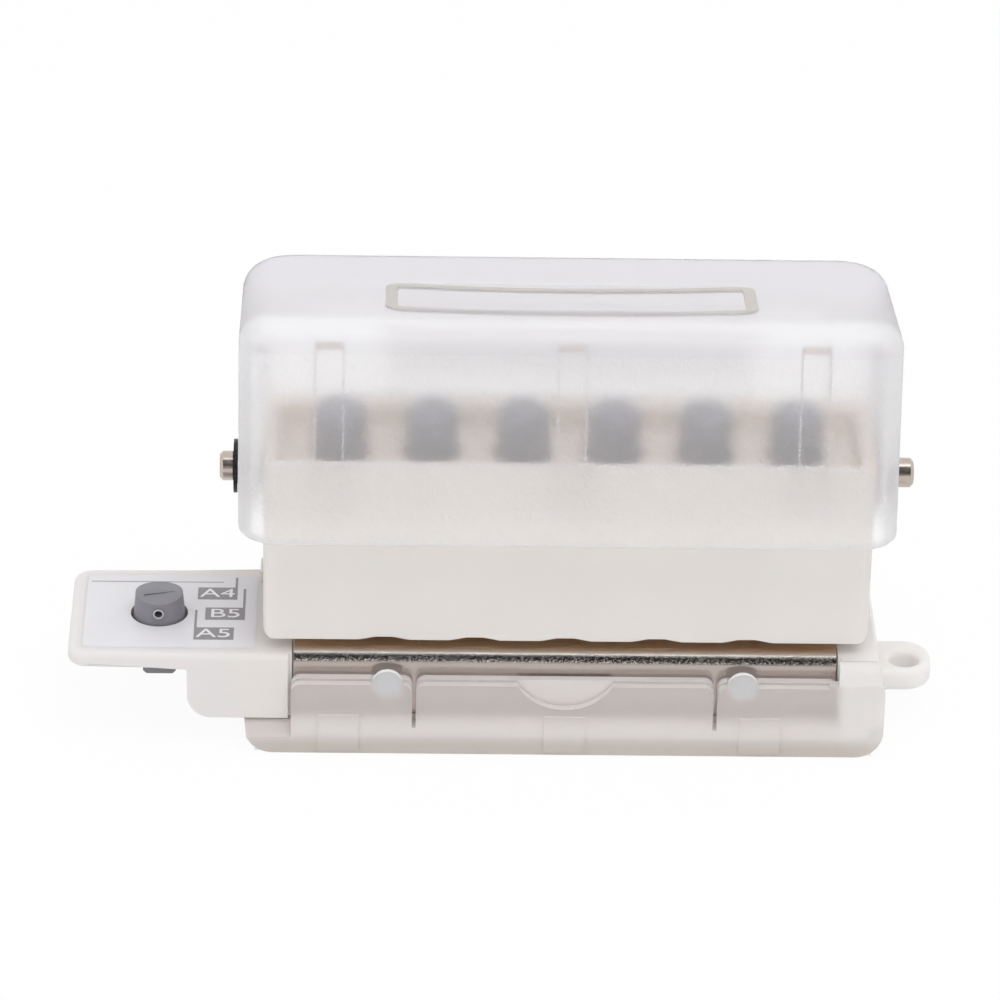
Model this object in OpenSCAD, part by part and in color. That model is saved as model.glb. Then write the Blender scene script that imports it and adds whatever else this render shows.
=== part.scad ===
// Six-hole punch for loose-leaf paper, with a frosted pressing cover, a row
// of six sprung pins, a bent steel die plate, a folding chip tray and a side
// arm that carries the paper-size marks and a sprung index peg.
// Millimetres. X runs along the hole row, Y points to the back, Z is up.
// The origin is under the middle of the hole row, on the table.

/* [Hole row] */
// Distance between neighbouring holes
hole_pitch = 9.5; // [9:0.1:12]
// Diameter of a punch pin
punch_d = 5.5; // [4:0.1:6]
// From the hole row to the paper stop
paper_margin = 6.5; // [5.5:0.1:8]
// Height of the slot that takes the paper
paper_gap = 1.4; // [1:0.1:2.5]

/* [Base] */
// Height of the paper bed over the table
bed_z = 11; // [10:0.1:14]
// Height of the underside of the base over the table
base_z = 3.4; // [3.4:0.1:4]
// From the hole row to the back of the base
base_back = 19; // [18.7:0.1:24]
// How far the end cheeks stand in front of the die plate
cheek_step = 0.7; // [0.3:0.1:1.1]
// Room in the base beyond each end of the punch housing
base_margin = 1.85; // [1:0.05:4]
// Wall between the chip space and the ends of the die plate
ledge_w = 1.5; // [1:0.1:2.5]

/* [Die plate] */
// Thickness of the bent steel plate
die_t = 1.2; // [0.8:0.1:1.6]
// From the hole row to the front face of the plate
die_front = 8.2; // [7.5:0.1:10]
// Plate beyond the middle of the last hole at each end
die_margin = 4.75; // [4:0.05:6]
// Height of the skirt that hangs down in front
skirt_h = 7.2; // [5:0.1:7.2]
// Outer radius of the bend
bend_r = 1.6; // [1.4:0.1:3]

/* [Side arm] */
// Thickness of the arm
arm_t = 1.8; // [1.4:0.1:3]
// Arm beyond the middle of the index peg
arm_margin = 9.35; // [8:0.05:14]
// From the hole row to the back edge of the arm
arm_back = 9.4; // [8:0.1:12]
// Left end of the block under the arm, from the end of the base
block_reach = 6.1; // [2:0.1:7]
// Corner radius of the arm seen from above
arm_r = 2; // [0.5:0.1:4]
// Corner radius of the block seen from the front
block_r = 2.6; // [0.5:0.1:3.2]
// Thickness of the size label
label_t = 0.3; // [0.2:0.05:0.6]
// Border of the arm around the label
label_border = 1.5; // [1:0.1:3]

/* [Index peg] */
// Diameter of the peg head
peg_d = 5.3; // [4:0.1:5.6]
// Height of the peg head over the arm
peg_rise = 2.6; // [2:0.1:4]
// Length of the peg head below the arm's top
peg_sink = 1.2; // [0.8:0.1:1.6]
// Diameter of the peg stem
peg_stem_d = 2.5; // [1.6:0.1:3]
// Diameter of the hole for the peg head
peg_hole_d = 6; // [5.8:0.1:6.6]

/* [Lanyard ear] */
// Outer radius of the ear
ear_r = 2.9; // [2.4:0.1:4]
// Radius of the eye
eye_r = 1.5; // [0.8:0.1:1.8]
// Thickness of the ear
ear_t = 2.5; // [1.5:0.1:4]

/* [Punch housing] */
// Housing beyond the middle of the last hole at each end
house_margin = 7.9; // [7:0.05:10]
// From the hole row to the front and back faces of the trough
trough_half = 7.75; // [6.5:0.05:7.75]
// Height of the trough over the paper slot
trough_h = 20.7; // [18:0.1:21]
// Wall thickness of the housing
house_wall = 1.5; // [1.2:0.1:2]
// Height of the block behind the trough
rear_h = 13.1; // [12:0.1:13.5]
// Length of the guide bores
guide_h = 7.1; // [5:0.1:7.5]
// Thickness of the web over the guide bores
web_t = 1.5; // [1:0.1:2]
// Depth of the head guide plate under the rim of the trough
deck_drop = 2.4; // [2:0.1:2.8]
// Thickness of the head guide plate
deck_t = 1.2; // [0.8:0.1:1.6]
// Corner radius of the housing seen from above
house_r = 1; // [0.4:0.1:4]
// Depth of the shallow notches along the lower front edge
notch_h = 0.35; // [0.2:0.05:0.6]

/* [Punches] */
// Diameter of the stem over the pin
stem_d = 3; // [2:0.1:3.4]
// Diameter of the grey pressing head
head_d = 5.4; // [5:0.1:6.4]
// Height of the pressing head
head_h = 6.2; // [5:0.1:8]
// Length of the return spring at rest
spring_l = 9; // [8:0.1:10]
// Wire diameter of the return springs
wire_d = 0.6; // [0.4:0.05:0.7]
// Turns of a return spring
spring_turns = 6; // [4:1:7]

/* [Pivot] */
// From the hole row back to the pivot
pivot_y = 15; // [14.5:0.1:15.5]
// Height of the pivot over the paper slot
pivot_rise = 8.2; // [7.5:0.1:8.8]
// Diameter of the pivot shaft
shaft_d = 3.2; // [2.4:0.1:3.6]
// Shaft beyond the retaining clip at each end
shaft_stub = 1.95; // [0.8:0.05:3]
// Outer diameter of the retaining clips
clip_d = 5.8; // [5:0.1:7]
// Thickness of the retaining clips
clip_t = 0.4; // [0.3:0.05:0.8]

/* [Pressing cover] */
// Wall thickness of the cover
lever_wall = 1.5; // [1.2:0.1:2]
// Thickness of the top of the cover
lever_top_t = 1.8; // [1.2:0.1:2.4]
// Height of the top over the pivot, with the cover level
lever_rise = 24; // [22:0.1:27]
// Height of the front lower edge over the pivot, with the cover level
lever_skirt = 0.4; // [-1:0.1:3]
// How far the front is lifted at rest, in degrees
lever_tilt = 10; // [9:0.5:11]
// Side gap between the cover and the housing
lever_gap = 1.1; // [0.4:0.05:1.2]
// Corner radius of the cover seen from above
lever_r = 4; // [2:0.1:6]
// Fillet along the top edges of the cover
lever_fillet = 3; // [1:0.1:4]
// Width of the stiffening ribs inside the front wall
rib_w = 2.9; // [1.5:0.1:4]
// Height of the stiffening ribs
rib_h = 0.5; // [0.3:0.05:1]
// Width of the press panel ring, front to back
panel_d = 9.2; // [6:0.1:9.6]
// Wall of the press panel ring
panel_wall = 1.4; // [0.8:0.1:2]
// Depth of the ring under the top of the cover
panel_h = 7.4; // [1:0.1:7.4]
// Radius of the rib that presses the heads
pusher_r = 2; // [1.5:0.1:2.4]
// Place of the pressing rib behind the hole row at rest
pusher_y = 2.1; // [1.8:0.1:2.4]

/* [Chip tray] */
// Thickness of the tray floor
floor_t = 1.2; // [0.8:0.1:1.2]
// Thickness of the low side walls
tray_wall = 1.2; // [0.8:0.1:2]
// Height of the front flap over the table
flap_top = 8.6; // [8:0.1:10]
// Step from the flap's top edge down to the rim of its front layer
flap_step = 0.3; // [0.2:0.1:3]
// Thickness of the flap's back layer
flap_back_t = 0.8; // [0.6:0.1:1.2]
// Thickness of the flap's front layer
flap_front_t = 0.9; // [0.6:0.1:1.4]
// From the middle of the flap to each of its slits
slit_x = 15.8; // [10:0.1:20]
// Width of the finger scoop
scoop_w = 10; // [6:0.5:14]
// Depth of the finger scoop
scoop_h = 2.8; // [1:0.1:3]
// Corner radius of the tray seen from the front
tray_r = 3; // [1:0.1:3]
// Diameter of the tray hinge pin
hinge_d = 2; // [1.2:0.1:2.2]
// Height of the hinge pin over the table
hinge_z = 2.3; // [2.2:0.05:2.4]

/* [Hidden] */
$fn = 48;

// Fits and clearances
hole_count = 6;
part_gap = 0.3;
seat_gap = 0.1;
running_gap = 0.05;
guide_gap = 0.03;
press_gap = 0.02;
over = 1;

// Hole row and the widths that follow it
half_row = hole_pitch * (hole_count - 1) / 2;
die_half = half_row + die_margin;
house_half = half_row + house_margin;
lever_inner = house_half + lever_gap;
lever_half = lever_inner + lever_wall;
base_half = house_half + base_margin;
spine_margin = 0.55;
spine_half = house_half + spine_margin;
function punch_x(i) = (i - 1) * hole_pitch - half_row;

// Heights of the paper slot and the housing
slot_z = bed_z + paper_gap;
web_z = slot_z + guide_h;
web_top = web_z + web_t;
trough_z = slot_z + trough_h;
foot_r = 1.2;
rear_z = slot_z + rear_h;
head_z = web_top + spring_l;
head_top = head_z + head_h;
head_cap = 2;
deck_z = trough_z - deck_drop;
deck_ledge = 0.8;
trough_in_x = house_half - house_wall;
trough_in_y = trough_half - house_wall;

// Base
cheek_front = die_front + cheek_step;
lean_w = 0.8;
lean_h = 3.2;
lip_t = 1.6;
lip_z = floor_t + part_gap;
skirt_z = bed_z - skirt_h;
die_tuck = 0.7;
die_rear = paper_margin + die_tuck;
back_wall = 5.5;
hollow_back = base_back - back_wall;
hollow_half = die_half - ledge_w;
rear_step = 5;
bar_t = 2;
bar_z = bed_z - die_t - bar_t;
bar_front = die_rear - 1.7;
bar_back = die_rear + 0.8;
seat_half = die_half + seat_gap;

// Arm, label and peg
peg_x = -half_row - 2 * hole_pitch;
arm_end = peg_x - arm_margin;
block_end = -base_half - block_reach;
label_left = arm_end + label_border;
label_right = -spine_half - part_gap;
label_front = -cheek_front + label_border;
label_rear = arm_back - label_border;
label_r = 0.8;
peg_head_z = bed_z - peg_sink;
peg_top = bed_z + peg_rise;
peg_travel = 2.3;
peg_seat_z = peg_head_z - peg_travel - seat_gap;
peg_base_r = peg_hole_d / 2 - seat_gap;
sleeve_wall = 1;
sleeve_r = peg_hole_d / 2 + sleeve_wall;
sleeve_floor = 0.8;
sleeve_z = peg_seat_z - sleeve_floor;
gable_h = 0.3;
foot_step = 0.5;
foot_w = peg_stem_d + 2 * foot_step;
foot_h = 2;
foot_z = sleeve_z - seat_gap - foot_h;
foot_chamfer = 0.35;
pin_hole_r = 0.45;
pin_hole_depth = 1;
peg_wire_d = 0.35;
peg_turns = 3;
peg_coil_r = peg_stem_d / 2 + part_gap + peg_wire_d / 2 + seat_gap;
well_r = peg_coil_r + peg_wire_d / 2 + part_gap;
well_h = 1.8;

// Lanyard ear
ear_x = base_half + ear_r;
ear_y = 0.3;
ear_run = 1.1;
ear_lift = 0.2;
ear_z = base_z + ear_lift;

// Pivot
pivot_z = slot_z + pivot_rise;
bearing_t = 2;
shaft_r = shaft_d / 2;
boss_h = 0.5;
boss_face = lever_half + boss_h;
clip_x = boss_face + seat_gap;
groove_depth = 0.35;
groove_w = clip_t + running_gap;
shaft_half = clip_x + groove_w + shaft_stub;
shaft_shift = 0.5;
shaft_chamfer = 0.35;
lobe_wall = 2.6;
lobe_r = shaft_r + lobe_wall;
neck_r = lobe_r - seat_gap;
boss_wall = 1.9;
boss_r = shaft_r + boss_wall;

// Cover, in its own frame: the pivot is the origin and the cover is level
corner_y = -pivot_y - trough_half;
corner_z = trough_z - pivot_z;
corner_b = corner_y * cos(lever_tilt) - corner_z * sin(lever_tilt);
front_gap = 0.5;
rib_face = corner_b - front_gap;
front_in = rib_face - rib_h;
front_out = front_in - lever_wall;
back_in = -0.2;
back_out = back_in + lever_wall;
back_room = 1.6;
back_open = rear_h - pivot_rise + back_room;
ceiling = lever_rise - lever_top_t;
press_gap_z = 0.1;
pusher_wy = pusher_y - pivot_y;
pusher_wz = head_top + press_gap_z + pusher_r - pivot_z;
pusher_b = pusher_wy * cos(lever_tilt) - pusher_wz * sin(lever_tilt);
pusher_h = pusher_wy * sin(lever_tilt) + pusher_wz * cos(lever_tilt);
pusher_end = 0.5;
pusher_half = half_row + head_d / 2 + pusher_end;
panel_shift = 3.1;
panel_b = (front_in + back_in) / 2 - panel_shift;
panel_trim = 0.5;
panel_half = 2 * hole_pitch + panel_wall / 2 - panel_trim;
panel_inner = panel_half - panel_wall;
panel_r = 2.2;
panel_rise = 0.12;
edge_run = 10;
edge_b = front_out + edge_run;
edge_h = lever_skirt + edge_run * tan(lever_tilt);
dish_h = 0.45;
rib_margin = 1.15;
rib_x = half_row + rib_margin;

// Tray
tray_half = base_half + seat_gap;
wall_top = base_z - part_gap;
flap_in = -die_front - part_gap;
flap_mid = flap_in - flap_back_t;
flap_out = flap_mid - flap_front_t;
flap_lap = 0.2;
flap_half = die_half + flap_lap;
cheek_in = flap_half + part_gap;
rim_z = flap_top - flap_step;
slit_w = 0.4;
flap_r = 1;
hinge_r = hinge_d / 2;
hinge_inset = 2.4;
hinge_y = base_back - hinge_inset;
knuckle_wall = 0.9;
knuckle_r = hinge_r + knuckle_wall;
lug_w = 4;
lug_inset = 2.5;
lug_end = base_half - lug_inset;
knuckle_from = lug_w / 2 + part_gap;
knuckle_to = lug_end - lug_w - part_gap;
snap_r = 1.65;
snap_inset = 2.8;
snap_x = slit_x + snap_inset;
snap_h = 0.25;
pad_w = 4.3;
pad_z = [0.4, 4.7];
pad_h = 0.2;
pad_shift = 3.2;
pad_x = [-half_row, 0, half_row - pad_shift];

// Screws
screw_x = [-half_row, -hole_pitch, hole_pitch, half_row];
screw_boss_r = 2.4;
screw_y = bar_back + screw_boss_r + 0.5;
screw_r = 1;
screw_head_r = 1.9;
screw_head_h = 1.5;
screw_l = 8;
screw_seat = bed_z - die_t;
screw_boss_h = screw_l - screw_seat + slot_z;

// Colours
cream = [0.93, 0.91, 0.86];
steel = [0.70, 0.66, 0.62];
frost = [0.90, 0.90, 0.89, 0.55];
grey = [0.55, 0.56, 0.58];
black = [0.12, 0.12, 0.13];
white = [0.96, 0.96, 0.97];

// Box between two opposite corners
module span(from, to) {
    translate(from) cube(to - from);
}

// Flat shape drawn in Y and Z, drawn out along X
module along_x(from, to) {
    translate([from, 0, 0]) rotate([90, 0, 90]) linear_extrude(to - from) children();
}

// Flat shape drawn in X and Z, drawn out along Y
module along_y(from, to) {
    translate([0, to, 0]) rotate([90, 0, 0]) linear_extrude(to - from) children();
}

// Round rod along X
module rod_x(from, to, r) {
    translate([from, 0, 0]) rotate([0, 90, 0]) cylinder(h = to - from, r = r);
}

// Round rod along Y
module rod_y(from, to, r) {
    translate([0, from, 0]) rotate([-90, 0, 0]) cylinder(h = to - from, r = r);
}

// Rectangle between two corners, with all four corners round
module round_rect(from, to, r) {
    translate([from.x + r, from.y]) square([to.x - from.x - 2 * r, to.y - from.y]);
    translate([from.x, from.y + r]) square([to.x - from.x, to.y - from.y - 2 * r]);
    for (x = [from.x + r, to.x - r], y = [from.y + r, to.y - r])
        translate([x, y]) circle(r);
}

// Places what belongs to the cover, at its rest tilt
module on_lever() {
    translate([0, pivot_y, pivot_z]) rotate([-lever_tilt, 0, 0]) children();
}

// Points along the middle of a coil that climbs from one height to another
function coil(r, from, to, turns) =
    let (steps = 8 * turns)
    [for (i = [0 : steps])
        [r * cos(45 * i), r * sin(45 * i), from + (to - from) * i / steps]];

// Ring of six points round one point of a coil
function wire_ring(p, wire_r) =
    let (out = [p.x, p.y, 0] / norm([p.x, p.y]))
    [for (k = [0 : 5]) p + wire_r * (cos(60 * k) * out + [0, 0, sin(60 * k)])];

// Least gap between the turns of a coil, from its own points
function coil_gap(points, wire) =
    min([for (i = [0 : len(points) - 1], j = [i + 5 : 1 : len(points) - 1])
        norm(points[i] - points[j])]) - wire;

// Coil spring as one unbroken tube
module coil_spring(r, wire, length, turns) {
    points = coil(r, wire / 2, length - wire / 2, turns);
    count = len(points);
    verts = [for (p = points) each wire_ring(p, wire / 2)];
    last = 6 * (count - 1);
    sides = [for (i = [0 : count - 2], k = [0 : 5])
        let (a = 6 * i + k, b = 6 * i + (k + 1) % 6)
        each [[a, b, a + 6], [b, b + 6, a + 6]]];
    start = [for (k = [1 : 4]) [0, k + 1, k]];
    end = [for (k = [1 : 4]) [last, last + k, last + k + 1]];
    echo(spring_gap = coil_gap(points, wire));
    polyhedron(points = verts, faces = concat(sides, start, end), convexity = 8);
}

// Front view of the left block, with its lower outer corner round
module block_outline() {
    translate([block_end, base_z + block_r])
        square([-cheek_in - block_end, bed_z - base_z - block_r]);
    translate([block_end + block_r, base_z])
        square([-cheek_in - block_end - block_r, bed_z - base_z]);
    translate([block_end + block_r, base_z + block_r]) circle(block_r);
}

// Front view of the base from a left end, with its right end leaning in
module base_outline(left) {
    polygon([[left, base_z], [base_half, base_z], [base_half, bed_z - lean_h],
        [base_half - lean_w, bed_z], [left, bed_z]]);
}

// Everything of the base that stands solid before it is cut out
module base_solid() {
    along_y(-die_front, base_back) base_outline(-base_half);
    along_y(-cheek_front, -die_front + over) base_outline(cheek_in);
    along_y(-cheek_front, arm_back) block_outline();
    span([-spine_half, paper_margin, bed_z - over], [spine_half, base_back, slot_z]);
    translate([0, 0, bed_z - arm_t]) linear_extrude(arm_t)
        round_rect([arm_end, -cheek_front], [-base_half + 2 * arm_r, arm_back], arm_r);
    translate([peg_x, 0, sleeve_z])
        cylinder(h = bed_z - sleeve_z - arm_t / 2, r = sleeve_r);
    span([-seat_half, -die_front, lip_z], [seat_half, -die_front + lip_t, skirt_z - seat_gap]);
    ear_solid();
    for (x = [-lug_end, -lug_w / 2, lug_end - lug_w]) hinge_lug(x);
}

// Lanyard ear on the right end
module ear_solid() {
    rear = ear_y + ear_run;
    for (y = [ear_y, rear]) translate([ear_x, y, ear_z]) cylinder(h = ear_t, r = ear_r);
    span([base_half - over, ear_y - ear_r, ear_z], [ear_x, rear + ear_r, ear_z + ear_t]);
    span([ear_x - over, ear_y, ear_z], [ear_x + ear_r, rear, ear_z + ear_t]);
}

// Lug that holds the hinge pin under the back of the base
module hinge_lug(x) {
    translate([0, hinge_y, hinge_z]) rod_x(x, x + lug_w, knuckle_r);
    span([x, hinge_y - knuckle_r, hinge_z], [x + lug_w, hinge_y + knuckle_r, base_z + over]);
}

// Seat of the die plate and the space that catches the chips
module base_hollow() {
    span([-seat_half, -cheek_front - over, bed_z - die_t], [seat_half, die_rear + seat_gap, bed_z]);
    span([-seat_half, -cheek_front - over, skirt_z - seat_gap],
        [seat_half, -die_front + die_t + seat_gap, bed_z]);
    span([-hollow_half, -die_front + lip_t, base_z - over], [hollow_half, hollow_back, bar_z]);
    span([-hollow_half, -die_front + lip_t, bar_z - over], [hollow_half, bar_front, bed_z]);
    span([-hollow_half, bar_back, bar_z - over], [hollow_half, hollow_back, screw_seat]);
}

// Room for the knuckles of the tray
module knuckle_room() {
    for (s = [-1, 1])
        translate([0, hinge_y, hinge_z])
            rod_x(min(s * (knuckle_from - part_gap), s * (knuckle_to + part_gap)),
                max(s * (knuckle_from - part_gap), s * (knuckle_to + part_gap)),
                knuckle_r + part_gap);
}

module base_frame() {
    color(cream) difference() {
        base_solid();
        base_hollow();
        knuckle_room();
        span([-base_half - over, arm_back, rear_step], [-house_half, base_back + over, slot_z + over]);
        translate([0, 0, bed_z - label_t]) linear_extrude(label_t + over) label_outline(press_gap);
        translate([peg_x, 0, peg_seat_z]) cylinder(h = bed_z, r = peg_hole_d / 2);
        translate([peg_x, 0, sleeve_z - over])
            cylinder(h = sleeve_floor + 2 * over, r = peg_stem_d / 2 + running_gap);
        translate([ear_x, ear_y, ear_z - over]) cylinder(h = ear_t + 2 * over, r = eye_r);
        translate([0, hinge_y, hinge_z])
            rod_x(-lug_end - over, lug_end + over, hinge_r + press_gap);
        for (x = screw_x)
            translate([x, screw_y, bar_z]) cylinder(h = bed_z, r = screw_r + part_gap / 2);
    }
}

// Side view of the bent plate
module die_outline() {
    translate([-die_front + bend_r, bed_z - die_t]) square([die_front - bend_r + die_rear, die_t]);
    translate([-die_front, skirt_z]) square([die_t, skirt_h - bend_r]);
    translate([-die_front + bend_r, bed_z - bend_r]) intersection() {
        difference() {
            circle(bend_r);
            circle(bend_r - die_t);
        }
        translate([-2 * bend_r, 0]) square(2 * bend_r);
    }
}

module die_plate() {
    color(steel) difference() {
        along_x(-die_half, die_half) die_outline();
        for (i = [1 : hole_count])
            translate([punch_x(i), 0, bed_z - die_t - over])
                cylinder(h = die_t + 2 * over, r = punch_d / 2 + running_gap);
    }
}

// Shallow notch in the lower front edge of the housing
module notch_outline() {
    top = 0.9;
    foot = 2.6;
    polygon([[-foot, 0], [-top, notch_h], [top, notch_h], [foot, 0], [foot, -over], [-foot, -over]]);
}

// Trough with the pin guides, before the bores
module trough_solid() {
    difference() {
        intersection() {
            translate([0, 0, slot_z]) linear_extrude(trough_h)
                round_rect([-house_half, -trough_half], [house_half, trough_half], house_r);
            along_y(-trough_half - over, trough_half + over)
                round_rect([-house_half, slot_z], [house_half, trough_z + 2 * foot_r], foot_r);
        }
        span([-trough_in_x, -trough_in_y, deck_z - deck_t], [trough_in_x, trough_in_y, trough_z + over]);
        span([deck_ledge - trough_in_x, deck_ledge - trough_in_y, web_top],
            [trough_in_x - deck_ledge, trough_in_y - deck_ledge, trough_z]);
        translate([0, 0, slot_z])
            for (i = [1 : hole_count - 1])
                translate([(i - hole_count / 2) * hole_pitch, 0, 0])
                    along_y(-trough_half - over, -trough_half + 2 * house_wall) notch_outline();
    }
}

// Hollow block behind the trough that carries the shaft
module rear_block() {
    inner = house_half - bearing_t;
    front = trough_in_y;
    difference() {
        span([-house_half, front, slot_z], [house_half, base_back, rear_z]);
        span([-inner, trough_half + house_wall, slot_z - over],
            [inner, base_back - house_wall, rear_z - house_wall]);
    }
    for (x = screw_x) {
        translate([x, screw_y, slot_z]) cylinder(h = screw_boss_h, r = screw_boss_r);
        span([x - house_wall / 2, front, slot_z], [x + house_wall / 2, screw_y, slot_z + screw_boss_h]);
    }
    for (x = [-hole_pitch, hole_pitch])
        span([x - house_wall / 2, trough_half, web_z - part_gap],
            [x + house_wall / 2, base_back - house_wall / 2, rear_z - house_wall / 2]);
}

module punch_housing() {
    color(cream) difference() {
        union() {
            trough_solid();
            difference() {
                rear_block();
                span([-trough_in_x, -trough_half, web_top], [trough_in_x, trough_in_y, trough_z]);
            }
        }
        for (i = [1 : hole_count]) translate([punch_x(i), 0, 0]) {
            translate([0, 0, slot_z - over])
                cylinder(h = guide_h + over, r = punch_d / 2 + guide_gap);
            translate([0, 0, web_z - over])
                cylinder(h = web_t + 2 * over, r = stem_d / 2 + running_gap);
        }
        translate([0, pivot_y, pivot_z])
            rod_x(-house_half - over, house_half + over, shaft_r + running_gap);
        for (x = screw_x)
            translate([x, screw_y, slot_z - over])
                cylinder(h = screw_boss_h - over / 2, r = screw_r + press_gap);
    }
}

// Plate in the trough that keeps the heads upright
module head_guide() {
    half = trough_in_x - press_gap;
    depth = trough_in_y - press_gap;
    color(cream) translate([0, 0, deck_z - deck_t]) linear_extrude(deck_t) difference() {
        square([2 * half, 2 * depth], center = true);
        for (i = [1 : hole_count]) translate([punch_x(i), 0]) circle(head_d / 2 + part_gap);
    }
}

// Screw that comes up from the chip space, with a cross slot
module housing_screw() {
    slot = 0.5;
    slot_l = 2.4;
    difference() {
        union() {
            translate([0, 0, screw_seat - screw_head_h]) cylinder(h = screw_head_h, r = screw_head_r);
            translate([0, 0, screw_seat - over]) cylinder(h = screw_l - over, r = screw_r);
        }
        for (a = [0, 90])
            translate([0, 0, screw_seat - screw_head_h]) rotate(a)
                cube([slot_l, slot, 2 * slot], center = true);
    }
}

module housing_screws() {
    color(steel) for (x = screw_x) translate([x, screw_y, 0]) housing_screw();
}

// Outline of the label, grown by a clearance
module label_outline(grow) {
    round_rect([label_left - grow, label_front - grow], [label_right + grow, label_rear + grow], label_r);
}

module size_label() {
    color(white) translate([0, 0, bed_z - label_t]) linear_extrude(label_t) difference() {
        label_outline(0);
        translate([peg_x, 0]) circle(peg_hole_d / 2);
    }
}

// Half outline of the shaft end, for turning
module shaft_outline() {
    difference() {
        translate([0, shaft_shift - shaft_half]) square([shaft_r, 2 * shaft_half]);
        for (s = [-1, 1]) {
            translate([shaft_r - groove_depth, s * (clip_x + groove_w / 2) - groove_w / 2])
                square([shaft_r, groove_w]);
            translate([shaft_r, s * shaft_half + shaft_shift])
                polygon([[-shaft_chamfer, 0], [over, 0], [over, -s * shaft_chamfer],
                    [0, -s * shaft_chamfer]]);
        }
    }
}

module pivot_shaft() {
    color(steel) translate([0, pivot_y, pivot_z]) rotate([0, 90, 0]) rotate_extrude() shaft_outline();
}

// Retaining clip with an open mouth and two inner notches
module e_clip(x) {
    grip = shaft_r - groove_depth + press_gap;
    mouth = 1.6 * grip;
    notch = 0.6;
    color(black) translate([x, pivot_y, pivot_z]) rotate([90, 0, 90]) linear_extrude(clip_t)
        difference() {
            circle(clip_d / 2);
            circle(grip);
            translate([-mouth / 2, -clip_d]) square([mouth, clip_d]);
            for (a = [35, 145])
                rotate(a) translate([0, -notch / 2]) square([grip + notch, notch]);
        }
}

module e_clip_left() {
    e_clip(-clip_x - clip_t);
}

module e_clip_right() {
    e_clip(clip_x);
}

// Side view of the cover; its lower edge is level at rest near the front
module lever_side() {
    intersection() {
        round_rect([front_out, lever_skirt - lever_rise], [back_out, lever_rise], lever_fillet);
        polygon([[front_out, lever_skirt], [edge_b, edge_h], [-neck_r * cos(60), -neck_r * sin(60)],
            [back_out + over, -lobe_r], [back_out + over, lever_rise + over],
            [front_out, lever_rise + over]]);
    }
}

// Body of the cover, with round upper edges and round upright corners
module lever_body() {
    deep = lobe_r + over;
    intersection() {
        along_x(-lever_half, lever_half) lever_side();
        along_y(front_out - over, back_out + over)
            round_rect([-lever_half, -2 * deep], [lever_half, lever_rise], lever_fillet);
        translate([0, 0, -deep]) linear_extrude(lever_rise + 2 * deep)
            round_rect([-lever_half, front_out], [lever_half, back_out], lever_r);
    }
}

// Lobe of a side wall round the pivot, with the boss that the clip faces
module lever_lobe(wall, face) {
    along_x(min(wall), max(wall)) {
        circle(lobe_r);
        polygon([[edge_b, edge_h], [-neck_r * cos(60), -neck_r * sin(60)],
            [neck_r * cos(20), neck_r * sin(20)], [back_out, back_open], [edge_b, back_open]]);
    }
    rod_x(min(face), max(face), boss_r);
}

// Empty space under the cover, open below and behind
module lever_hollow() {
    deep = lobe_r + over;
    inner_r = max(lever_r - lever_wall, 0.5);
    translate([0, 0, -deep]) linear_extrude(ceiling + deep)
        round_rect([-lever_inner, front_in], [lever_inner, back_in], inner_r);
    span([-lever_inner, back_in - lever_r, -deep], [lever_inner, 2 * deep, back_open]);
}

// Rib that runs over all six heads and presses them down
module pusher() {
    translate([0, pusher_b, pusher_h]) rod_x(-pusher_half, pusher_half, pusher_r);
    span([-pusher_half, pusher_b - pusher_r, pusher_h],
        [pusher_half, pusher_b + pusher_r, ceiling + over / 2]);
}

// Rectangular ring of ribs under the press panel, just proud of the top
module panel_ring() {
    translate([0, panel_b, ceiling - panel_h])
        linear_extrude(panel_h + lever_top_t + panel_rise) difference() {
            round_rect([-panel_half, -panel_d / 2], [panel_half, panel_d / 2], panel_r);
            square([2 * panel_inner, panel_d - 2 * panel_wall], center = true);
        }
}

// Shallow hollow across the press panel for the finger
module panel_dish() {
    half_d = panel_d / 2 - panel_wall;
    dish_r = (panel_inner * panel_inner + dish_h * dish_h) / (2 * dish_h);
    translate([0, 0, lever_rise + dish_r - dish_h]) intersection() {
        rod_y(panel_b - half_d, panel_b + half_d, dish_r);
        span([-panel_half, panel_b - panel_d, -dish_r - over],
            [panel_half, panel_b + panel_d, -dish_r + 2 * over]);
    }
}

// Stiffening rib inside the front wall
module front_rib(x) {
    span([x - rib_w / 2, front_in - lever_wall / 2, lever_skirt + lever_wall],
        [x + rib_w / 2, rib_face, ceiling + over / 2]);
}

module lever_cover() {
    color(frost) on_lever() difference() {
        union() {
            difference() {
                lever_body();
                lever_hollow();
            }
            for (s = [-1, 1])
                lever_lobe([s * lever_inner, s * lever_half], [s * lever_inner, s * boss_face]);
            for (x = [-rib_x, 0, rib_x]) front_rib(x);
            pusher();
            panel_ring();
        }
        panel_dish();
        rod_x(-boss_face - over, boss_face + over, shaft_r + running_gap);
    }
}

// Hardened pin with a hollow-ground tip and a thin stem
module punch_pin(i) {
    tip_z = slot_z + 2 * seat_gap;
    shoulder_z = web_z - seat_gap;
    grind = 0.5;
    color(steel) translate([punch_x(i), 0, 0]) difference() {
        union() {
            translate([0, 0, tip_z]) cylinder(h = shoulder_z - tip_z, r = punch_d / 2);
            translate([0, 0, shoulder_z - over])
                cylinder(h = head_top - head_cap - shoulder_z + over, r = stem_d / 2);
        }
        translate([0, 0, tip_z + grind - punch_d]) rod_y(-punch_d, punch_d, punch_d);
    }
}

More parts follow.
